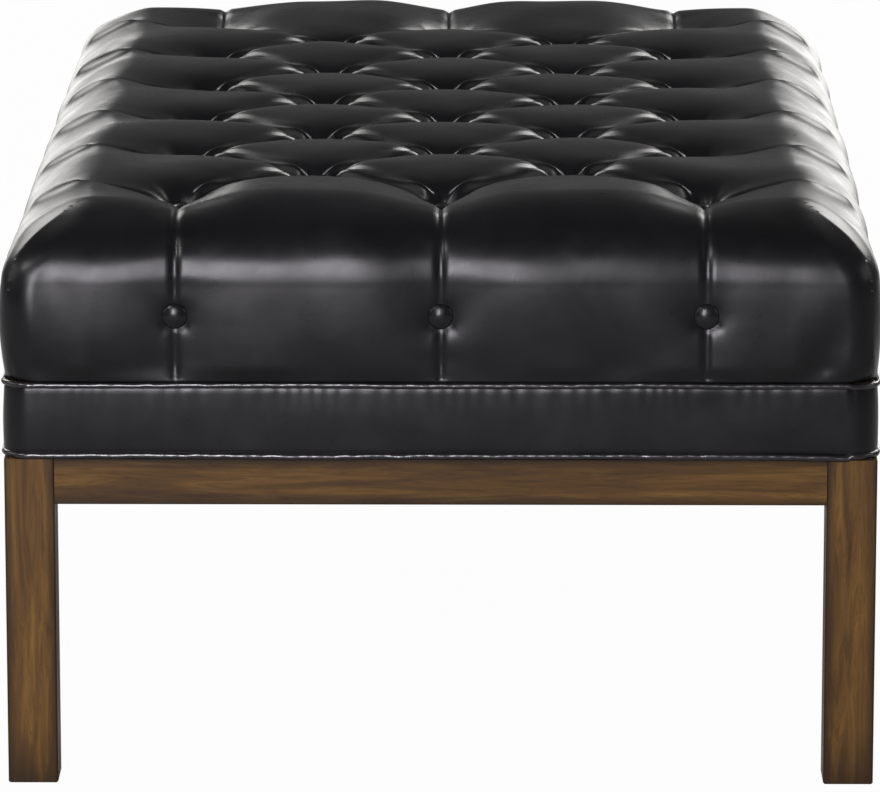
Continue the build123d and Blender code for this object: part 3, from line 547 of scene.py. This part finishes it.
# %% Distances to the buttons and the pleats
def distance_to(points):
    """Distance from every grid point to the nearest of some points on the hide, and which one it is:
    the least of the straight distances measured on the flat grid."""
    best = np.full(P.shape, 9.0)
    which = np.zeros(P.shape, int)
    for number, (x, y) in enumerate(points):
        gap = np.hypot(P - x, Q - y)
        closer = gap < best
        best[closer] = gap[closer]
        which[closer] = number
    return best, which


top_gap, top_which = distance_to(top_buttons)
side_gap, side_which = distance_to(side_seats)
u = P / PITCH_X + Q / PITCH_Y
v = P / PITCH_X - Q / PITCH_Y
off_u = np.abs((u % 2) - 1)
off_v = np.abs((v % 2) - 1)
inside = (np.abs(P) < ROW * PITCH_X + 1e-6) & (np.abs(Q) < END * PITCH_Y + 1e-6)
on_diagonal = inside & (np.minimum(off_u, off_v) < 1e-6)
row_off = np.abs(((Q / PITCH_Y) % 2) - 1)
column_off = np.abs(((P / PITCH_X + 1) % 2) - 1)
down_x = (np.abs(P) >= ROW * PITCH_X - 1e-6) & (row_off < 1e-6) & (np.abs(Q) < END * PITCH_Y + 1e-6)
down_y = (np.abs(Q) >= END * PITCH_Y - 1e-6) & (column_off < 1e-6) & (np.abs(P) < ROW * PITCH_X + 1e-6)
print("points on diagonal pleats:", int(on_diagonal.sum()), "on edge pleats:", int((down_x | down_y).sum()))


# %% [markdown]
# How deep the pleats and pockets lie
# A pleat over the edge is deepest beside its button and runs out down the side, which was read off the
# photograph's contours. So each end and the long sides have a table of depths at places beyond the
# outermost button. Round each top button a pocket is added, and the discs under the buttons lie flat.

# %% Depths where the hide is held
pleat_places = [0.0, 0.012, 0.030, 0.060, 0.085, 0.125, 0.165, 0.190, 0.215, 0.240, 0.260]
front_depths = [0.0225, 0.0250, 0.0265, 0.0240, 0.0180, 0.0065, 0.0025, 0.0030, 0.0025, 0.0020, 0.0010]
rear_depths = [0.0225, 0.0245, 0.0255, 0.0225, 0.0165, 0.0065, 0.0025, 0.0030, 0.0025, 0.0020, 0.0010]
long_side_depths = [0.0225, 0.0230, 0.0220, 0.0160, 0.0105, 0.0050, 0.0022, 0.0020, 0.0018, 0.0015, 0.0008]
PLEAT_DEPTH, TOP_DISC_DEPTH, SIDE_DISC_DEPTH = 0.0225, 0.0390, 0.0050
pocket = 0.0160 * np.exp(-((top_gap / 0.022) ** 1.4))


def edge_pleat_depth(beyond, depths):
    """Depth of a pleat at a distance beyond the outermost button: the table's value, drawn straight
    between its places, and the pocket's."""
    return np.interp(beyond, pleat_places, depths) + pocket


beyond_x, beyond_y = np.abs(P) - ROW * PITCH_X, np.abs(Q) - END * PITCH_Y
front_depth, rear_depth = (edge_pleat_depth(beyond_y, t) for t in (front_depths, rear_depths))
side_depth = edge_pleat_depth(beyond_x, long_side_depths)
end_depth = np.where(Q < 0, front_depth, rear_depth)
diagonal_depth = PLEAT_DEPTH + pocket
top_disc, side_disc = top_gap < 0.0115, side_gap < 0.0098
rim = np.zeros(P.shape, bool)
rim[[0, -1], :] = True
rim[:, [0, -1]] = True
skin = np.zeros(P.shape)
held = on_diagonal | down_x | down_y | top_disc | side_disc | rim
for place, level in (
    (on_diagonal, -diagonal_depth),
    (down_x, -side_depth),
    (down_y, -end_depth),
    (top_disc, -TOP_DISC_DEPTH),
    (side_disc, -SIDE_DISC_DEPTH),
    (rim, 0.0),
):
    skin = np.where(place, level, skin)
print("held points:", int(held.sum()), "of", held.size)

# %% [markdown]
# The puffs
# A puff is full in its middle and falls to its pleats. In the photograph the puffs are domed along the
# stool and nearly flat across it, with steep ends, so the share of the fall grows with a power of the
# way along, and over a short stretch of the way across. The puffs at the two ends and the four corners
# are open on one side, where they run over the edge, and have a fall of their own.

# %% How high a full puff stands
soft_run = (run_a**6 + run_b**6) ** (1 / 6)
on_side = smooth_step(0.35 * quarter, quarter, soft_run)
mid_width = 1 - smooth_step(0.150, 0.270, np.abs(P))
near_end = smooth_step(0.350, 0.430, np.abs(Q))
# crests lie 12 mm under TOP; near the ends the middle ones rise by 6 mm, and all drop by about 2 mm
crown = -0.0120 + near_end * np.where(Q < 0, 0.0060 * mid_width - 0.0015, 0.0065 * mid_width - 0.0022)
unevenness = smooth_noise(P.shape, 0.05 / step_y, 0.05 / step_x, 11)
full = crown * (1 - on_side) + 0.0006 * on_side + 0.0008 * unevenness
print("full puffs from", round(float(full.min()), 4), "to", round(float(full.max()), 4))


def cell_places():
    """Where a point lies in its puff, in half pitches from the puff's middle: across and along. Inside
    the buttons the puffs are diamonds, whose middles are the even counts nearest to u and v. Beyond the
    outermost buttons the pleats run straight out, so only the place between two pleats counts there.
    Near the middle and at the side rows the way across is rounded by a square root of its square and a
    little more, so no ridge shows."""
    u0, v0 = 2 * np.round(u / 2), 2 * np.round(v / 2)
    across = np.abs(0.5 * ((u - u0) + (v - v0)))
    along = np.abs(0.5 * ((u - u0) - (v - v0)))
    wide, long = np.abs(P) / PITCH_X, np.abs(Q) / PITCH_Y
    across = np.sqrt(across**2 + 0.02) - 0.1414 * (1 - across)
    inward = ROW - wide
    side = (np.abs(u0 + v0) > 3) & (long <= END)
    eased = 0.5 * (inward + np.sqrt(inward**2 + 0.02))
    across = np.where(side, eased, across)
    along = np.where(wide > ROW, 1 - row_off, along)
    return across, along, wide, long


# %% How far each point has fallen from the full height to its pleat
across, along, wide, long = cell_places()
narrowing = np.maximum(1 - across, 1e-6)
fall = 1 - (1 - np.clip(along / narrowing, 0, 1) ** 2.2) * (1 - smooth_step(0.58, 1.0, across))
end_across = 1 - column_off
end_puff = (wide <= ROW) & (long - end_across > END - 1)
inward = np.clip((END - long + 0.27) / np.maximum(1 - end_across + 0.27, 1e-6), 0, 1)
shoulder = np.clip((end_across - 0.30) / 0.70, 0, 1) ** 1.7
fall = np.where(end_puff, 1 - (1 - inward**2.2) * (1 - shoulder), fall)
corner_puff = (wide > ROW) & (long > END)
from_side_pleat = np.clip(1 - beyond_y / 0.065, 0, 1) ** 1.4
from_end_pleat = np.clip(1 - beyond_x / 0.060, 0, 1) ** 1.8
fall = np.where(corner_puff, 1 - (1 - from_side_pleat) * (1 - from_end_pleat), fall)
depth = np.where(wide > ROW, side_depth, diagonal_depth)
depth = np.where((wide <= ROW) & (long > END), end_depth, depth)
share = from_end_pleat / np.maximum(from_end_pleat + from_side_pleat, 1e-6)
depth = np.where(corner_puff, share * end_depth + (1 - share) * side_depth, depth)
pleat_level = np.minimum(-depth, full - 0.0010)
puffed = full + (pleat_level - full) * fall
print("mean fall:", round(float(fall.mean()), 3))

# %% [markdown]
# The hide at rest
# Leather under tension rounds off every sharp change that the formulas leave. The skin is held at the
# pleats, the buttons and the foot seam, and everywhere else it settles between its own tension and the
# puffed shape. A full simulation would also slide the hide about; this keeps each fold in its place and
# gives the same result each run.

# %% Let the hide relax between its pleats
def relax(skin, held, push, tension, turns):
    """A stretched skin pushed from inside. At each free point the bend across the grid equals the
    distance to the height that the filling asks for, over the square of a tension length. Red and black
    points take turns, each moved past its balance, until the skin rests."""
    weight_x, weight_y = 1 / step_x**2, 1 / step_y**2
    pull = (1 / tension**2)[1:-1, 1:-1]
    total = 2 * weight_x + 2 * weight_y + pull
    rows, columns = np.indices(skin.shape)
    free = ~held
    colours = [free & ((rows + columns) % 2 == k) for k in (0, 1)]
    colours = [c[1:-1, 1:-1] for c in colours]
    for turn in range(turns):
        ahead = 1.0 if turn < 3 else 1.88
        for colour in colours:
            middle = skin[1:-1, 1:-1]
            balance = (
                weight_x * (skin[1:-1, 2:] + skin[1:-1, :-2])
                + weight_y * (skin[2:, 1:-1] + skin[:-2, 1:-1])
                + pull * push[1:-1, 1:-1]
            ) / total
            middle += np.where(colour, ahead * (balance - middle), 0)
    return skin


over_edge = smooth_step(0.30 * quarter, 0.80 * quarter, soft_run)
tension = 0.0070 + 0.0040 * over_edge
skin = np.where(held, skin, puffed)
skin = relax(skin, held, puffed, tension, 120)
print("skin from", round(float(skin.min()), 4), "to", round(float(skin.max()), 4))


# %% [markdown]
# Folds, puckers and creases
# Along each slanted pleat the hide is tucked under itself: a sharp valley, a raised lip behind it and a
# shallow hollow behind that, strongest near the buttons. Round each button it gathers in uneven rays,
# and everywhere it has a few soft creases. All of these are real geometry, added to the relaxed skin.

# %% Distances to the pleats
def groove(depth, width, gap):
    """A narrow valley along a line: minus its depth times e to the minus square of gap over width."""
    return -depth * np.exp(-((gap / width) ** 2))


FAR = 9                             # farther than any point of the hide
slant = 1 / math.hypot(1 / PITCH_X, 1 / PITCH_Y)
top_gap_line = np.where(inside, np.minimum(off_u, off_v), FAR) * slant
side_gap_x = np.where(np.abs(P) >= ROW * PITCH_X, row_off * PITCH_Y, FAR)
side_gap_x = np.where(np.abs(Q) < 5.6 * PITCH_Y, side_gap_x, FAR)
side_gap_y = np.where(np.abs(Q) >= END * PITCH_Y, column_off * PITCH_X, FAR)
side_gap_y = np.where(np.abs(P) < 2.6 * PITCH_X, side_gap_y, FAR)
edge_gap_line = np.minimum(side_gap_x, side_gap_y)
print("pleats on a slant lie", round(slant, 4), "m from puff middle to pleat")

# %% Tucks along the pleats
# depth, place behind the slanted pleat's line, and width: its valley, its lip and its hollow
TUCK, TUCK_BEHIND, TUCK_WIDTH = 0.0040, 0.0008, 0.0020
LIP, LIP_BEHIND, LIP_WIDTH = 0.0040, 0.0062, 0.0024
HOLLOW, HOLLOW_BEHIND, HOLLOW_WIDTH = 0.0012, 0.0120, 0.0028
EDGE_TUCK, EDGE_WIDTH = 0.0022, 0.0026      # the valley of a pleat over the edge
side_fade = 1 - 0.9 * smooth_step(0.025, 0.085, beyond_x)
detail = groove(EDGE_TUCK * side_fade, EDGE_WIDTH, edge_gap_line)
within = smooth_step(0, 0.016, -beyond_y) * smooth_step(0, 0.016, -beyond_x)
near_button = np.exp(-((np.maximum(top_gap - 0.024, 0) / 0.018) ** 2)) * smooth_step(0.012, 0.020, top_gap)
fold = near_button * within
for behind in (-((v % 2) - 1) * slant, ((u % 2) - 1) * slant):
    behind = np.where(inside, behind, FAR)
    detail += groove(TUCK * (0.3 + 0.7 * within), TUCK_WIDTH, behind - TUCK_BEHIND)
    detail -= groove(LIP * fold, LIP_WIDTH, behind - LIP_BEHIND)
    detail += groove(HOLLOW * fold, HOLLOW_WIDTH, behind - HOLLOW_BEHIND)
print("tucks from", round(float(detail.min()), 4), "to", round(float(detail.max()), 4))

# %% Puckers round the buttons and soft creases
generator = np.random.default_rng(5)
for gap, which, buttons, swell, reach_out in (
    (top_gap, top_which, top_buttons, 0.0005, 0.0105),
    (side_gap, side_which, side_seats, 0.00004, 0.0060),
):
    around = np.arctan2(Q - buttons[which, 1], P - buttons[which, 0])
    folds_each = generator.integers(7, 12, len(buttons))[which]
    turn = generator.uniform(0, 6.28, len(buttons))[which]
    second = generator.uniform(0, 6.28, len(buttons))[which]
    waves = np.cos(folds_each * around + turn) + 0.5 * np.cos((folds_each + 4) * around + second)
    detail += swell * waves * np.exp(-np.maximum(gap - 0.011, 0) / reach_out)
# creases of 10 by 16 mm, nearly all beside the pleats, and then broad swells of half a millimetre
creases = smooth_noise(P.shape, 0.010 / step_y, 0.016 / step_x, 3)
near_pleat = np.exp(-np.minimum(top_gap_line, edge_gap_line) / 0.014)
detail += 0.00016 * creases * (0.10 + near_pleat)
detail += 0.0005 * smooth_noise(P.shape, 0.036 / step_y, 0.036 / step_x, 4)
free = (~(top_disc | side_disc)).astype(float)
foot_ease = smooth_step(0.0, 0.014, reach - run)
skin = skin + detail * foot_ease * (0.2 + 0.8 * free)
cover_points = base + base_normal * skin[..., None]
print("cover:", cover_points.min((0, 1)), cover_points.max((0, 1)))

# %% [markdown]
# Close the cover underneath
# The hide turns in under the cushion and is fixed to the seat frame there, out of sight. A flat skirt and
# a fan of triangles close the mesh. Each cell of the grid is cut along its pleat, so that no pleat runs
# across a triangle and shows as a saw edge.

# %% Close the cover underneath and make the piece
rows, columns = P.shape
number = np.arange(rows * columns).reshape(rows, columns)
loop = np.concatenate([number[0, :-1], number[:-1, -1], number[-1, :0:-1], number[:0:-1, 0]])
flat_points = cover_points.reshape(-1, 3)
inner = flat_points[loop] * np.array([0.93, 0.95, 1.0])     # the skirt's inner rim, in shares
centre = np.array([[0, 0, FOOT]])
all_points = np.concatenate([flat_points, inner, centre])
ring = rows * columns + np.arange(len(loop))
after = np.roll(ring, -1)
loop_after = np.roll(loop, -1)
skirt = np.concatenate([np.stack([loop, ring, after], -1), np.stack([loop, after, loop_after], -1)])
fan = np.stack([ring, np.full(len(ring), len(all_points) - 1), after], -1)
a, b = number[:-1, :-1], number[:-1, 1:]
c, d = number[1:, 1:], number[1:, :-1]
cell_u = (0.25 * (u[:-1, :-1] + u[:-1, 1:] + u[1:, 1:] + u[1:, :-1])) % 2
cell_v = (0.25 * (v[:-1, :-1] + v[:-1, 1:] + v[1:, 1:] + v[1:, :-1])) % 2
rising = (np.abs(cell_v - 1) <= np.abs(cell_u - 1))[..., None]
one = np.where(rising, np.stack([a, b, c], -1), np.stack([a, b, d], -1)).reshape(-1, 3)
two = np.where(rising, np.stack([a, c, d], -1), np.stack([b, c, d], -1)).reshape(-1, 3)
cover = make_piece(
    "tufted_cover", all_points, np.concatenate([one, two, skirt, fan]), cover_leather
)
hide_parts("leather_cover", "wadding", "foam_block")

# %% [markdown]
# Covered buttons
# Each button is a metal cap with a disc of the same hide pressed over it. The hide is drawn tight across
# the dome and gathers into small puckers where it turns under the rim. A profile spun on an axis would
# give a perfect dome, so the height is worked out over radius and angle instead, with the puckers as a
# wave that grows towards the rim.

# %% Buttons
def button_points(segments=40, wave_count=13, phase=0.0):
    """Profile carried round: from the pole over the dome to the rim and under it, closed at both poles.
    The puckers are a cosine of the angle that grows with the radius."""
    radius = np.array([0.0, 2.5, 4.8, 6.8, 8.3, 9.3, 9.85, 10.0, 9.75, 9.1, 7.5, 4.0, 0.0]) / 1000
    level = np.array([7.0, 6.82, 6.3, 5.5, 4.7, 3.9, 3.0, 2.0, 1.1, 0.4, 0.0, 0.0, 0.0]) / 1000
    angle = np.arange(segments) * 2 * math.pi / segments
    R, A = np.meshgrid(radius[1:-1], angle, indexing="ij")
    Z = np.repeat(level[1:-1, None], segments, 1)
    gather = np.cos(wave_count * A + phase) * smooth_step(0.0055, 0.0095, R)
    Z = Z - 0.00022 * gather
    R = R + 0.00012 * gather
    body = np.stack([R * np.cos(A), R * np.sin(A), Z], -1).reshape(-1, 3)
    points = np.concatenate([[[0, 0, level[0]]], body, [[0, 0, level[-1]]]])
    rings = len(radius) - 2
    faces = grid_triangles(rings, segments, wrap_columns=True, flip=True) + 1
    k = np.arange(segments)
    top = np.stack([np.zeros(segments, int), 1 + k, 1 + (k + 1) % segments], -1)
    low = 1 + (rings - 1) * segments
    end = np.full(segments, len(points) - 1)
    bottom = np.stack([low + (k + 1) % segments, low + k, end], -1)
    return points, np.concatenate([top, faces, bottom])


def many_buttons(name, places, outs):
    """Copies of the button at places, each standing along its outward direction, in one mesh: a point
    is its place plus the button's own three distances along side, up and out."""
    points, faces = [], []
    for number, (place, out) in enumerate(zip(places, outs)):
        shape, triangles = button_points(phase=0.9 * number)
        out = np.array(out, float)
        side = np.cross([0, 0, 1.0], out) if abs(out[2]) < 0.5 else np.array([1.0, 0, 0])
        up = np.cross(out, side)
        turned = shape @ np.stack([side, up, out])
        points.append(turned + np.array(place))
        faces.append(triangles + number * len(shape))
    return make_piece(name, np.concatenate(points), np.concatenate(faces), button_leather)


# %% Place the buttons
top_places = [(x, y, TOP - TOP_DISC_DEPTH) for x, y in top_buttons]
top_caps = many_buttons("top_buttons", top_places, [(0, 0, 1)] * len(top_places))
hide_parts(*[f"button_row_{k:02d}" for k in range(1, 12)])
SUNK = 0.0040                       # how far a side button's back lies inside the frame's face
side_places, side_outs = [], []
for sign in (-1, 1):
    for y in range(-END, END + 1, 2):
        side_places.append((sign * (FRAME_X - SUNK), y * PITCH_Y, SIDE_BUTTON_LEVEL))
        side_outs.append((sign, 0, 0))
    for x in (-ROW, 0, ROW):
        side_places.append((x * PITCH_X, sign * (FRAME_Y - SUNK), SIDE_BUTTON_LEVEL))
        side_outs.append((0, sign, 0))
side_caps = many_buttons("side_buttons", side_places, side_outs)
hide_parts(*[f"side_buttons_{k}" for k in ("front", "rear", "left", "right")])

# %% [markdown]
# Band and piping
# Between the cushion and the wood runs a smooth band of the same hide over thin wadding, with a piping
# above and below it. A piping is a cord in a folded strip of leather. The band and both pipings go
# round the stool on the same plan, a rectangle with round corners, so one function gives that path and
# each piece carries its own profile along it. Stitches pull the band's top edge into small puckers.

# %% A path round the stool
def stool_path(out, corner, spacing):
    """Points, outward directions and lengths along a rectangle with round corners, out from the frame."""
    half_x, half_y = FRAME_X + out, FRAME_Y + out
    straight_x, straight_y = half_x - corner, half_y - corner
    pieces, outwards = [], []
    turns = [(1, -1, -math.pi / 2), (1, 1, 0.0), (-1, 1, math.pi / 2), (-1, -1, math.pi)]
    for sign_x, sign_y, start in turns:
        middle = np.array([sign_x * straight_x, sign_y * straight_y])
        count = max(int(corner * math.pi / 2 / spacing), 6)
        angle = start + np.linspace(0, math.pi / 2, count + 1)
        direction = np.stack([np.cos(angle), np.sin(angle)], -1)
        pieces.append(middle + corner * direction)
        outwards.append(direction)
        run_length = 2 * (straight_y if sign_x * sign_y < 0 else straight_x)
        steps = int(run_length / spacing)
        end = direction[-1]
        along = np.array([-end[1], end[0]])
        t = np.linspace(0, run_length, steps + 1)[1:-1, None]
        pieces.append(pieces[-1][-1] + t * along)
        outwards.append(np.repeat(end[None], len(t), 0))
    points, normals = np.concatenate(pieces), np.concatenate(outwards)
    gaps = np.linalg.norm(np.roll(points, -1, 0) - points, axis=1)
    return points, normals, np.concatenate([[0], np.cumsum(gaps)[:-1]]), gaps.sum()


def carried(name, material, path, offsets, levels):
    """A closed profile carried round the path. offsets and levels are grids of path point by profile
    point, outward from the path and up from the floor."""
    points, normals = path[0], path[1]
    x = points[:, 0:1] + normals[:, 0:1] * offsets
    y = points[:, 1:2] + normals[:, 1:2] * offsets
    surface = np.stack([x, y, levels], -1)
    faces = grid_triangles(*surface.shape[:2], wrap_rows=True, wrap_columns=True)
    return make_piece(name, surface.reshape(-1, 3), faces, material)


# %% Piping
def piping(name, out, level, radius, corner, seed):
    """A round cord whose leather wrinkles slightly: the radius is a constant plus seeded noise along
    the cord and a fine wave, and the cord wanders up and down by a fraction of a millimetre."""
    path = stool_path(out, corner, 0.0022)
    length = path[3]
    s = path[2][:, None]
    segments = 14
    angle = -np.arange(segments)[None, :] * 2 * math.pi / segments
    noise = smooth_noise((len(s), segments), 3, 2, seed)
    wander = smooth_noise((len(s), 1), 24, 1, seed + 1)
    wave = np.cos(2 * math.pi * round(length / 0.0085) * s / length + 1.5 * wander)
    r = radius * (1 + 0.035 * noise + 0.03 * wave)
    levels = level + r * np.sin(angle) + 0.00022 * wander
    print(name, "is", round(length, 3), "m round")
    return carried(name, piping_leather, path, r * np.cos(angle), levels)


for cord, node, out, level, radius, corner, seed in (
    ("upper_piping_cord", "upper_piping", 0.00045, 0.3114, 0.00235, 0.02045, 21),
    ("lower_piping_cord", "lower_piping", 0.0002, 0.2569, 0.0027, 0.0202, 31),
):
    ring_piece = piping(cord, out, level, radius, corner, seed)
    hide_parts(node)


# %% Band
def band_piece():
    """The band's outer face bellies between the pipings as a power of the height's sine, and its top
    edge puckers: a wave along the path that fades a few millimetres down. Its back is a plain wall. The
    profile is turned round at the end, so that the faces point outwards."""
    path = stool_path(0.0, 0.020, 0.0024)
    length = path[3]
    s = path[2][:, None]
    low, high = 0.2545, 0.3125      # the band's edges, behind the two pipings
    rise = 22                       # points from one edge to the other
    t = np.linspace(0, 1, rise)[None, :]
    level = low + (high - low) * t
    belly = 0.0002 + 0.0011 * np.sin(math.pi * np.clip((t - 0.02) / 0.96, 0, 1)) ** 0.6
    tuck = -0.0016 * (smooth_step(0.10, 0.0, t) + smooth_step(0.93, 1.0, t))
    wander = smooth_noise((len(s), 1), 10, 1, 41)
    wave = np.cos(2 * math.pi * round(length / 0.0125) * s / length + 3.4 * wander)
    pucker = 0.00026 * wave * np.exp(-((1 - t) * (high - low) / 0.0095) ** 1.2) * smooth_step(1.0, 0.94, t)
    ripple = 0.00022 * smooth_noise((len(s), rise), 16, 7, 42)
    outer = belly + tuck + pucker + ripple
    back = np.full((len(s), 2), -0.0030)
    back_level = np.concatenate([np.full((len(s), 1), high), np.full((len(s), 1), low)], 1)
    offsets = np.concatenate([outer, back], 1)[:, ::-1]
    levels = np.concatenate([np.repeat(level, len(s), 0), back_level], 1)[:, ::-1]
    return carried("band_cover", cover_leather, path, offsets, levels)


band = band_piece()
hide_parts("leather_band", "band_wadding")

# %% [markdown]
# Dust cover
# A black cloth closes the underside, tacked all round between the frame and the seat. Gravity lets it
# hang a few millimetres in its middle. It is one sheet with a small thickness, whose sag is a product of
# two arches over the open stretch between the rails.

# %% Dust cover
def dust_sheet():
    """Top and bottom faces of a thin sheet, joined round its rim. The sag is the product of two arches,
    each one minus the square of the share of the open half, plus small seeded unevenness."""
    low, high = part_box("dust_cover")
    count_a, count_b = 90, 140
    a = np.linspace(low[0], high[0], count_a)
    b = np.linspace(low[1], high[1], count_b)
    A, B = np.meshgrid(a, b)
    open_x, open_y = 0.285, 0.460       # half of the opening between the rails
    thickness, deepest = 0.0005, 0.0045
    across = np.clip(1 - (A / open_x) ** 2, 0, 1)
    along = np.clip(1 - (B / open_y) ** 2, 0, 1)
    uneven = 0.0004 * smooth_noise(A.shape, 9, 9, 51)
    sag = deepest * across * along + uneven * (across * along) ** 0.5
    under = np.stack([A, B, low[2] + 0.00005 - sag], -1)
    over = under + np.array([0, 0, thickness])
    count = count_a * count_b
    points = np.concatenate([under.reshape(-1, 3), over.reshape(-1, 3)])
    number = np.arange(count).reshape(count_b, count_a)
    bottom = grid_triangles(count_b, count_a, flip=True)
    top = grid_triangles(count_b, count_a) + count
    loop = np.concatenate([number[0, :-1], number[:-1, -1], number[-1, :0:-1], number[:0:-1, 0]])
    after = np.roll(loop, -1)
    lower_half = np.stack([loop, after, after + count], -1)
    upper_half = np.stack([loop, after + count, loop + count], -1)
    faces = np.concatenate([bottom, top, lower_half, upper_half])
    return points, faces, (high[0] - low[0], high[1] - low[1])


points, faces, flat_size = dust_sheet()
dust = make_piece("dust_cloth", points, faces, dust_cloth)
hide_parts("dust_cover")

# %% [markdown]
# Finishes for the CAD pieces that stay
# The legs, the aprons, the seat frame and the fixings keep their CAD shapes, which are right as they
# are. The record says what each is made of, and the grain of a board runs along its length.

# %% Give every kept node its finish
slots = {part["node"]: part["material_slot"] for part in frame["record"]["subparts"]}
by_slot = {
    "frame_wood": pale_wood_across,
    "plywood": plywood,
    "leather": cover_leather,
    "piping_leather": piping_leather,
    "button_leather": button_leather,
    "foam": foam_finish,
    "wadding": wadding_finish,
    "twine": twine_finish,
    "dust_cloth": dust_cloth,
    "steel": steel,
}


def node_finish(name):
    """The material for a CAD node: by its slot, and for wood also by the way its grain runs."""
    if name.startswith("leg_"):
        return wood_upright
    if name in ("apron_left", "apron_right"):
        return wood_along
    if slots[name] == "dark_wood":
        return wood_across
    if name in ("seat_rail_left", "seat_rail_right"):
        return pale_wood_along
    return by_slot[slots[name]]


for name, node in nodes.items():
    node.data.materials.clear()
    node.data.materials.append(node_finish(name))
print("finished nodes:", len(nodes))

# %% [markdown]
# The floor
# A pale floor runs far out, so nothing else shows behind the stool. For the rays of the camera its
# material is nearly all plain white, and the small rest is real shading, so the soft shadow stays. In
# reflections it shows only faintly, because the photographed leather mirrors a dark room.

# %% Floor
floor_material, tree, shader = new_material("pale studio floor")
shader.inputs["Base Color"].default_value = (0.42, 0.42, 0.42, 1)
shader.inputs["Roughness"].default_value = 0.9
output = tree.nodes["Material Output"]
white = add_node(tree, "ShaderNodeEmission", strength=1.0)
white.inputs["Color"].default_value = (1, 1, 1, 1)
white_share, mirror_share = 0.97, 0.08      # for the camera's rays and for reflections
path_node = tree.nodes.new("ShaderNodeLightPath")
rays = path_node.outputs
seen = math_node(tree, "MAXIMUM", rays["Is Camera Ray"], rays["Is Transmission Ray"])
mirrored = math_node(tree, "MULTIPLY", rays["Is Glossy Ray"], mirror_share)
seen = math_node(tree, "MAXIMUM", seen, mirrored)
blend_node = tree.nodes.new("ShaderNodeMixShader")
tree.links.new(math_node(tree, "MULTIPLY", seen, white_share), blend_node.inputs[0])
tree.links.new(shader.outputs[0], blend_node.inputs[1])
tree.links.new(white.outputs[0], blend_node.inputs[2])
tree.links.new(blend_node.outputs[0], output.inputs["Surface"])
floor_mesh = bpy.data.meshes.new("studio_floor")
floor_mesh.from_pydata([(-40, -40, 0), (40, -40, 0), (40, 60, 0), (-40, 60, 0)], [], [(0, 1, 2, 3)])
floor_mesh.materials.append(floor_material)
floor = bpy.data.objects.new("studio_floor", floor_mesh)
bpy.context.scene.collection.objects.link(floor)
print("floor made:", floor.name)

# %% [markdown]
# The lamps
# Black leather shows its lamps more than its colour. Three upright softboxes in front, strongest on the
# left, make the band of light along the cushion's end. A small key stands high on the left. Low pairs
# behind light the rims of the puffs and the rolls along the sides, high pairs behind their crests, and
# the weak ones at the sides fill the wood. Nothing hangs overhead, so the tops of the puffs stay dark.

# %% World, and a recipe for lamps
world = bpy.data.worlds.new("studio")
world.use_nodes = True
world.node_tree.nodes["Background"].inputs["Color"].default_value = (0.18, 0.18, 0.185, 1)
bpy.context.scene.world = world


def softbox(name, place, target, width, height, power, colour):
    """A rectangular lamp at a place, turned to face a target."""
    lamp = bpy.data.lights.new(name, "AREA")
    lamp.shape = "RECTANGLE"
    lamp.size, lamp.size_y = width, height
    lamp.energy = power
    lamp.color = colour
    holder = bpy.data.objects.new(name, lamp)
    direction = np.array(target, float) - np.array(place, float)
    yaw = math.atan2(-direction[0], direction[1])
    pitch = math.atan2(direction[2], math.hypot(direction[0], direction[1]))
    holder.location = place
    holder.rotation_euler = (math.pi / 2 + pitch, 0, yaw)
    bpy.context.scene.collection.objects.link(holder)


# %% Lamps
cool, warm, plain = (0.97, 0.94, 1.0), (1.0, 0.985, 0.96), (1, 1, 1)
lamps = (
    ("front left softbox", (-0.75, -4.2, 1.55), (-0.3, 0, 0.4), 1.0, 2.0, 165, cool),
    ("front middle softbox", (0.0, -4.2, 1.55), (0, 0, 0.4), 0.5, 2.0, 11, cool),
    ("front right softbox", (0.75, -4.2, 1.55), (0.3, 0, 0.4), 1.0, 2.0, 3, cool),
    ("key softbox", (-2.6, -3.0, 3.6), (0, 0, 0.4), 0.7, 0.7, 50, (1.0, 0.98, 0.96)),
    ("rear left softbox", (-1.47, 3.9, 0.47), (-0.2, 0, 0.44), 1.8, 0.90, 15, warm),
    ("rear right softbox", (1.47, 3.9, 0.47), (0.2, 0, 0.44), 1.8, 0.90, 17, warm),
    ("high left softbox", (-2.13, 2.73, 2.45), (0, 0, 0.4), 2.1, 1.7, 60, warm),
    ("high right softbox", (2.13, 2.73, 2.45), (0, 0, 0.4), 2.1, 1.7, 90, warm),
    ("left softbox", (-3.2, -0.8, 1.7), (0, 0, 0.4), 2.4, 1.6, 22, plain),
    ("right softbox", (3.2, -0.8, 1.7), (0, 0, 0.4), 2.4, 1.6, 16, plain),
)
for lamp in lamps:
    softbox(*lamp)
print("lamps:", len(lamps))

# %% [markdown]
# The camera
# The photograph was taken from a few metres off, nearly straight at the short end and a little above it.
# The lens and the place were fitted to the outlines of the legs, the band and the cushion's far edge.

# %% Camera
camera_data = bpy.data.cameras.new("camera")
camera_data.lens = 266.14
camera_data.sensor_width = 36
camera_data.clip_end = 200
camera = bpy.data.objects.new("camera", camera_data)
camera.location = (0.0385, -5.2858, 1.3835)
camera.rotation_euler = (math.radians(90 - 12.729), 0, math.radians(0.466))
bpy.context.scene.collection.objects.link(camera)
bpy.context.scene.camera = camera
bpy.context.scene.view_settings.view_transform = "Standard"
print("camera:", [round(v, 3) for v in camera.location], "lens", camera_data.lens)

# %% Bring the scene up to date
bpy.context.view_layer.update()
